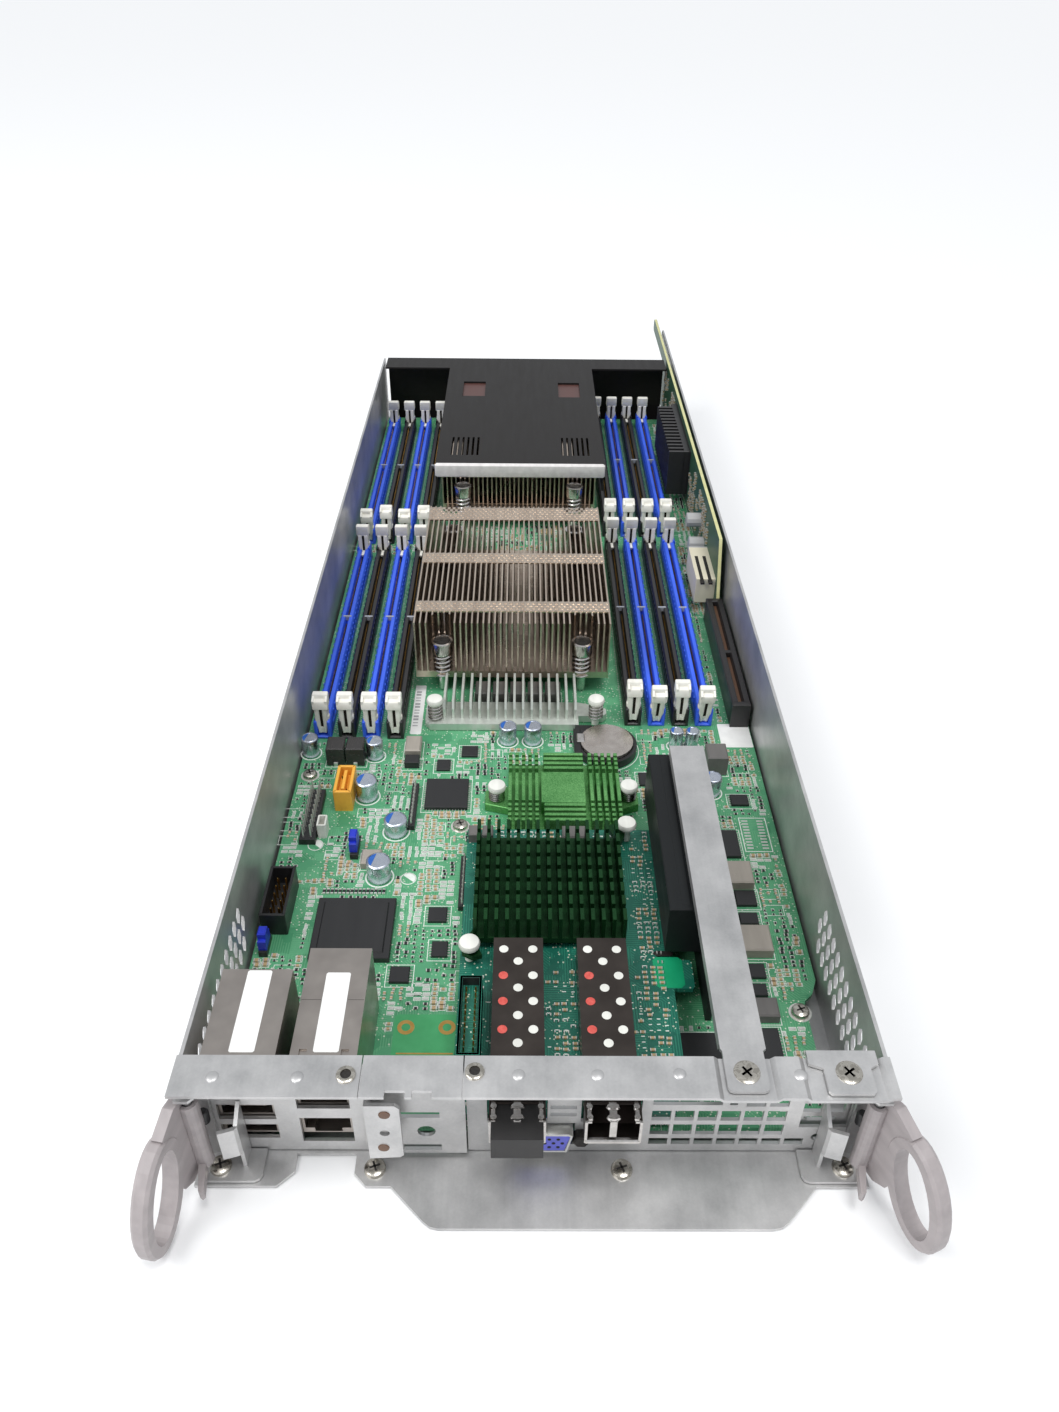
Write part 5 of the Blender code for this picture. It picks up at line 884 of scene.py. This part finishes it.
def chipset_fins():
    """Base with two ears; blades along y left and right, along x before and behind, posts at the corners."""
    x0, x1, y0, y1, low, top = -8.0, 31.6, 122.0, 158.0, BOARD_TOP + 0.3, 16.7
    mid = (y0 + y1) / 2
    rim = [(x1, y0), (x1, mid - 5.8), (x1 + 6.7, mid - 3.4), (x1 + 6.7, mid + 3.4), (x1, mid + 5.8), (x1, y1), (x0, y1),
           (x0, mid + 5.8), (x0 - 8.3, mid + 3.4), (x0 - 8.3, mid - 3.4), (x0, mid - 5.8), (x0, y0)]
    base = lofted(rim, [(low, 0.0), (low + 3.0, 0.0), (low + 3.2, 0.2)])
    flat = brick(x0 + 11.6, y0 + 9.4, low + 3.0, x1 - 12.4, y1 - 10.4, top - 0.3)
    thick = 1.3
    xs = np.concatenate([x0 + 2.36 * np.arange(5), x1 - thick - 2.36 * np.arange(5)])
    ys = np.concatenate([y0 + 2.5 * np.arange(4), y1 - thick - 2.5 * np.arange(4)])
    blade = brick(0.0, 0.0, low + 3.0, thick, y1 - y0 - 21.4, top).copies([(x, y0 + 10.2, 0.0) for x in xs])
    cross = brick(0.0, 0.0, low + 3.0, x1 - x0 - 25.2, thick, top).copies([(x0 + 12.6, y, 0.0) for y in ys])
    post = brick(0.0, 0.0, low + 3.0, thick, thick, top).copies([(x, y, 0.0) for x in xs for y in ys])
    return together([base, flat, blade, cross, post])


green_fins = piece("chipset_fins", chipset_fins(), lime)
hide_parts("chipset_heatsink")
pine = finish_of("anodised_pine", 0.4, 0.7, anodised(srgb(0.03, 0.17, 0.07), srgb(0.12, 0.32, 0.16)))
dress(pine, "network_heatsink")


def push_pin(x, y, low, cap):
    """White nylon pin: barrel through the ear, collar and domed cap."""
    return turned_piece(x, y, [(1.4, low), (1.5, cap - 3.4), (2.2, cap - 3.2), (2.2, cap - 2.4), (3.1, cap - 2.2),
                               (3.3, cap - 1.2), (2.9, cap - 0.3), (2.0, cap), (0.1, cap + 0.05)], 22)


push_pins = [(-37.0, 186.2, 8.0, 20.5), (25.5, 186.8, 8.0, 20.5), (-12.1, 139.6, 8.0, 17.5), (34.8, 140.0, 8.0, 17.5),
             (-18.6, 63.1, 15.5, 23.5), (31.7, 114.4, 15.5, 23.5)]
piece("push_pins", together(push_pin(*p) for p in push_pins), white_nylon)
piece("pin_springs", together(coil_spring(x, y, low + 2.4, cap - 2.4, 2.5, 0.42, 4.5)
                              for x, y, low, cap in push_pins[:4]), steel_bright)

# Network card: small teal board on spacers, with coils and chip parts behind its heatsink, white printing
# beside it and a bright tongue towards the riser.
mask_teal = finish_of("card_mask", 0.35, 0.0, masked_copper(
    srgb(0.04, 0.34, 0.28), srgb(0.2, 0.54, 0.44), srgb(0.1, 0.44, 0.36), 0.7))
dress(mask_teal, "network_card")
on_card = np.array((0.0, 0.0, CARD_TOP - BOARD_TOP))
card_taken = [(-21.5, 22.0, -13.0, 51.5), (-12.5, 9.0, 4.5, 64.5), (12.0, 9.0, 28.5, 64.5), (-21.5, 60.0, 32.5, 111.0),
              (-22.0, 111.0, -12.0, 119.0), (9.5, 111.0, 19.5, 119.0), (28.0, 110.5, 36.0, 119.0),
              (-20.0, 57.0, -14.5, 67.0)]
card_at, card_kind = parts_grid(11, [(-19.5, 14.5, 40.0, 118.0)], card_taken, (2.4, 1.9), 0.7)
card_at = np.column_stack([card_at, np.zeros(len(card_at))]) + on_card
core, tips = small_part(1.6, 0.8, 0.6)
piece("card_parts", core.copies(card_at[card_kind < 4]), tan)
piece("card_part_ends", tips.copies(card_at[card_kind < 6]), solder)
piece("card_print", brick(-0.5, -0.16, BOARD_TOP, 0.5, 0.16, BOARD_TOP + PRINT, 0.005).copies(
    card_at[card_kind > 3] + (0.0, 0.75, 0.0)), white_print)
piece("card_coils", together([brick(-21.0, 112.6, CARD_TOP, -17.2, 117.4, CARD_TOP + 3.8, 0.4),
                              brick(-16.4, 112.6, CARD_TOP, -12.8, 117.4, CARD_TOP + 3.8, 0.4),
                              brick(10.4, 112.2, CARD_TOP, 18.8, 118.0, CARD_TOP + 3.2, 0.5)]), coil_grey)
tongue_green = finish_of("tongue_green", 0.35, 0.0, drifting((0.02, 0.56, 0.36), (0.1, 0.66, 0.46), 0.2))
piece("card_tongue_face", film(corners(36.0, 52.8, 44.8, 64.2, 1.2), CARD_TOP, CARD_TOP + 0.06), tongue_green)
piece("card_tongue_slot", film(corners(36.4, 64.6, 42.6, 66.6, 0.9), CARD_TOP, CARD_TOP + 0.05), recess)

# Pluggable cages: folded sheet, its dark tone a painted reflection, round a throat lined with painted shade,
# rows of light-pipe holes in the roof, spring fingers with pressed beads at the mouth; a rubber plug closes the left
# one.
# Tinned steel given a dark brown-grey in place of its bright metal: a painted reflection of dark surroundings.
cage_tin_dark_reflection = finish_of("cage_tin_dark_reflection", 0.3, 0.9, drifting(
    (0.22, 0.2, 0.19), (0.36, 0.33, 0.31), 0.12, 3.0, (0.24, 0.3, 0.15)))
# Brown lining inside each cage tube: painted shade of the cage's inside.
throat_painted_shade = finish_of("throat_painted_shade", 0.6, 0.0, moulded((0.2, 0.165, 0.15), 0.6))
rubber = finish_of("plug_rubber", 0.6, 0.0, moulded((0.15, 0.145, 0.145), 0.55, 0.03))
dress(rubber, "sfp_dust_plug")
CAGES = {"left": -4.1, "right": 20.2}


def cage_body(cx):
    """Outer tube over its rim and back inside: one outline carried along y, then side walls and lip ahead of it."""
    shell = lofted(corners(cx - 7.2, 15.3, cx + 7.2, 24.7), [(63.2, 0.0), (9.6, 0.0), (9.6, 0.45), (50.0, 0.45)], "XZ")
    walls = [brick(cx + x, 4.0, 15.3, cx + x + 0.5, 9.8, 24.6, 0.1) for x in (-7.2, 6.7)]
    return together([shell, *walls, brick(cx - 6.8, 4.0, 15.3, cx + 6.8, 9.8, 15.8)])


def cage_fingers(cx):
    """Middle finger, side fingers, the rolled lower lip, and pairs of pressed beads on the fingers."""
    bars = [brick(cx - 1.0, 4.2, 23.9, cx + 1.0, 9.7, 24.4, 0.1), brick(cx - 0.9, 4.0, 17.5, cx + 0.9, 4.6, 24.2, 0.1),
            brick(cx - 6.7, 4.0, 23.6, cx - 5.5, 9.7, 24.3, 0.1), brick(cx + 5.5, 4.0, 23.6, cx + 6.7, 9.7, 24.3, 0.1),
            brick(cx - 6.9, 3.4, 15.5, cx + 6.9, 4.7, 16.7, 0.3)]
    bars += [brick(cx + x, 3.6, 15.4, cx + x + 0.7, 4.3, 24.6, 0.1) for x in (-7.25, 6.55)]
    bead = turned_piece(0.0, 0.0, [(0.9, -0.5), (1.0, 0.0), (0.8, 0.5), (0.05, 0.75)], 14)
    wide = Skin(bead.points * (1.9, 1.0, 1.0), bead.faces)
    spots = [(cx, y, 24.3) for y in (8.2, 5.2)]
    sides = [(cx + x, y, 24.2) for x in (-6.0, 6.0) for y in (8.2, 5.2)]
    return together(bars + [wide.copies(spots), bead.copies(sides)])


for side, cx in CAGES.items():
    cage = piece(f"{side}_cage_body", cage_body(cx), cage_tin_dark_reflection)
    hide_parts(f"sfp_cage_{side}")
throat = [(49.9, 0.0), (9.0, 0.0), (9.0, 0.12), (49.8, 0.12)]
piece("cage_throats", together(lofted(corners(cx - 6.7, 15.8, cx + 6.7, 24.2), throat, "XZ") for cx in CAGES.values()),
      throat_painted_shade)
piece("cage_spring_fingers", together(cage_fingers(cx) for cx in CAGES.values()), steel_bright)
red_pipe = finish_of("hole_red", 0.5, 0.0, drifting((0.72, 0.2, 0.17), (0.88, 0.42, 0.38), 1.0))
outer_rows, middle_rows = (58.9, 49.4, 40.5, 31.2), (54.5, 45.1, 35.8, 26.9)
red_spots = [(cx - 4.2, y) for cx in CAGES.values() for y in outer_rows[1:]]
pale_spots = [(cx + dx, y) for cx in CAGES.values()
              for dx, ys in ((-4.2, outer_rows[:1]), (0.0, middle_rows), (4.2, outer_rows)) for y in ys]
for name, spots, shade in (("cage_holes_red", red_spots, red_pipe), ("cage_holes_pale", pale_spots, white_nylon)):
    piece(name, together(turned_piece(x, y, [(1.35, 24.66), (1.35, 24.78), (1.1, 24.84), (0.1, 24.84)], 14)
                         for x, y in spots), shade)

# Port stacks: tinned shields folded round moulded jacks, each with a bare label on its roof, and the video
# port: a blue face with three rows of holes in a pale drawn shell, beside its hexagonal post.
shield = finish_of("port_shield", 0.3, 1.0, drifting(
    (0.58, 0.55, 0.53), (0.76, 0.73, 0.7), 0.1, 3.0, (0.24, 0.25, 0.2)))
dress(shield, "usb_lan_ports", "lan_ports")
dress(finish_of("video_blue", 0.4, 0.0, moulded((0.4, 0.42, 0.85), 0.4)), "vga_port")
piece("port_labels", together([film(corners(-76.7, 14.8, -70.2, 40.5, 0.4), 37.3, 37.42),
                               film(corners(-56.4, 17.7, -49.8, 43.1, 0.4), 33.3, 33.42)]), label_paper)
piece("shield_seams", together(
    [brick(x0, 34.0, 33.2, x1, 34.3, 33.36) for x0, x1 in ((-62.1, -56.6), (-49.6, -45.1))]
    + [film(corners(x, 13.6, x + 2.4, 15.0, 0.5), 33.2, 33.36) for x in (-59.6, -49.6)]), recess)
VIDEO_X, VIDEO_Z = 2.2, 9.2


def video_outline(top_half, bottom_half, rise):
    """The port's D: wide at the top, narrow at the bottom, its upper corners cut."""
    around = [(-top_half, rise - 0.9), (-bottom_half, -rise), (bottom_half, -rise), (top_half, rise - 0.9),
              (top_half - 0.9, rise), (0.9 - top_half, rise)]
    return np.array(around) + (VIDEO_X, VIDEO_Z)


piece("video_shell", lofted(video_outline(8.26, 6.86, 4.16), [(11.0, 0.0), (7.3, 0.0), (7.1, 0.15), (7.1, 0.7),
                                                              (7.7, 0.75)], "XZ"), solder)
video_face = finish_of("video_face", 0.4, 0.0, moulded((0.42, 0.44, 0.86), 0.4))
piece("video_insert", lofted(video_outline(7.4, 6.1, 3.35), [(7.75, 0.0), (7.3, 0.0), (7.2, 0.1)], "XZ"), video_face)
hole = turned_piece(0.0, 0.0, [(0.5, 0.0), (0.5, 0.06), (0.1, 0.06)], 10).turned(90.0, "X")
piece("video_holes", hole.copies([(VIDEO_X + 2.3 * (i - 2) + 1.1 * (r == 1) - 0.2, 7.2, VIDEO_Z + 1.8 * (r - 1))
                                  for r in range(3) for i in range(5)]), recess)
sixths = np.linspace(0.0, 2 * pi, 6, endpoint=False)
hexagon = np.stack([2.4 * np.cos(sixths), 2.4 * np.sin(sixths)], 1)
post = lofted(hexagon, [(0.0, 0.0), (2.6, 0.0), (3.0, 0.4)]).turned(90.0, "X")
piece("video_posts", post.copies([(12.7, 10.2, VIDEO_Z)]), recess)
plug_disc = turned_piece(0.0, 0.0, [(1.5, 0.0), (1.4, 0.25), (0.1, 0.3)], 18).turned(90.0, "X")
piece("bracket_discs", plug_disc.copies([(-37.0, 3.0, 28.7), (-38.1, 3.0, 14.1)]), slot_brown)

# Riser, rear card, air guide and coin cell: the riser's socket and the rear card's fins are drawn anew where the
# photograph has them; the card, the guide and the cell keep the frame's shapes and gain small parts.
riser_black = finish_of("riser_black", 0.5, 0.0, moulded((0.1, 0.11, 0.115), 0.5, 0.02), Specular_IOR_Level=0.25)
riser = piece("riser_and_socket", together([
    brick(50.4, 47.0, 7.6, 52.2, 135.0, 38.2), brick(39.6, 64.2, 17.6, 50.6, 134.4, 36.0, 0.4),
    brick(43.2, 66.0, 35.8, 46.0, 132.6, 36.2, 0.2)]), riser_black)
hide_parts("riser_card")
rear_fins = piece("rear_card_fins", together([brick(80.0, 376.0, 14.0, 82.9, 440.0, 38.0, 0.2)] + [
    brick(72.1, 376.0 + 4.22 * i, 14.0, 80.3, 377.5 + 4.22 * i, 38.0, 0.2) for i in range(15)] + [
    brick(83.0, 374.0, 12.4, 83.2, 442.0, 38.4, 0.05)]), black_plastic)
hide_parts("adapter_heatsink")


def edged_card(wire):
    """Dark mask on the faces, cream glass fibre where x lies inside the board, cream connector ahead of it."""
    at = wire.place()
    x, y, _ = wire.part(at)
    edge = (x > 83.3) * (x < 84.7)
    block = (x < 83.1) * (y < 300.0)
    round_coil = (x < 83.1) * (y > 300.0)
    grain = wire.noise(at, 0.3, 3.0)
    mask = grain.mix(srgb(0.1, 0.24, 0.17), srgb(0.24, 0.4, 0.3))
    bare = grain.mix(srgb(0.74, 0.73, 0.5), srgb(0.88, 0.87, 0.66))
    shade = round_coil.mix(block.mix(edge.mix(mask, bare), srgb(0.86, 0.83, 0.74)), srgb(0.7, 0.7, 0.7))
    return {"Base Color": shade, "Roughness": 0.4 + grain * 0.1}


dress(finish_of("adapter_board", 0.4, 0.0, edged_card), "adapter_card")
piece("adapter_slots", together(brick(x, 268.0, 23.0, x + 1.7, 292.0, 24.06) for x in (76.0, 79.6)), recess)
wall_at, wall_kind = parts_grid(5, [(-36.0, 303.0, -13.0, 372.0), (-36.0, 446.0, -13.0, 500.0)], [], (2.7, 2.1), 0.75)
wall_at = np.stack([0 * wall_at[:, 0] + 83.2, wall_at[:, 1], -wall_at[:, 0]], 1)
core, tips = (Skin(s.points - (0.0, 0.0, BOARD_TOP), s.faces).turned(-90.0, "Y") for s in small_part(1.7, 0.9, 0.8))
piece("adapter_parts", core.copies(wall_at[wall_kind < 4]), tan)
piece("adapter_part_ends", tips.copies(wall_at[wall_kind < 4]), solder)
dress(finish_of("guide_film", 0.34, 0.0, moulded((0.13, 0.12, 0.115), 0.42), Specular_IOR_Level=0.22),
      "air_shroud")
band_black = finish_of("band_black", 0.5, 0.0, moulded((0.11, 0.1, 0.1), 0.5, 0.02), Specular_IOR_Level=0.2)
piece("guide_rear_skirt", brick(-85.2, 503.6, 2.0, 82.0, 504.2, 12.4, 0.1), band_black)
# Brown sheet under each window of the guide: painted shade, standing in for the dark view through the open window.
window_shade_brown = finish_of("window_painted_shade", 0.4, 0.0, moulded((0.34, 0.22, 0.2), 0.4))
piece("guide_window_shade", together(brick(x, 441.5, 38.6, x + 15.0, 468.0, 39.1, 0.1) for x in (-39.0, 15.6)),
      window_shade_brown)
foam = finish_of("edge_foam", 0.7, 0.0, moulded((0.93, 0.91, 0.9), 0.7, 0.08))
piece("guide_edge_strip", lofted(corners(-47.2, 352.0, 37.6, 354.6, 0.8), [(34.0, 0.5), (34.6, 0.0), (40.1, 0.0),
                                                                          (40.8, 0.7)]), foam)
dress(finish_of("cell_metal", 0.24, 1.0, drifting(
    (0.7, 0.66, 0.63), (0.9, 0.87, 0.84), 0.3, rough=(0.14, 1.5, 0.22))), "coin_cell")
piece("cell_holder", together([washer(*CELL, 10.15, 11.5, BOARD_TOP, 10.7, 40),
                               brick(16.6, 165.0, BOARD_TOP, 19.4, 180.0, 11.0, 0.4),
                               brick(17.4, 178.0, BOARD_TOP, 24.0, 182.6, 10.6, 0.4)]), package)
piece("cell_clip", brick(17.6, 170.0, 11.0, 20.6, 175.0, 12.4, 0.3), steel_bright)

# Release rings and their springs: painted cast rings on the wall's pivots, each pushed out by a bright coil
# spring beside a dark bumper.
ring_paint = finish_of("ring_paint", 0.5, 0.0, moulded((0.655, 0.625, 0.625), 0.48))
dress(ring_paint, "left_pull_ring", "right_pull_ring")
piece("ring_springs", together(coil_spring(x, 4.4, 20.5, 29.5, 1.75, 0.42, 5.5) for x in (-86.0, 86.0)), steel_bright)
bumper = [(1.3, 20.6), (1.4, 24.2), (1.0, 24.9), (0.1, 25.0)]
piece("ring_bumpers", together(turned_piece(x, 6.4, bumper, 16) for x in (-83.2, 83.2)), package)
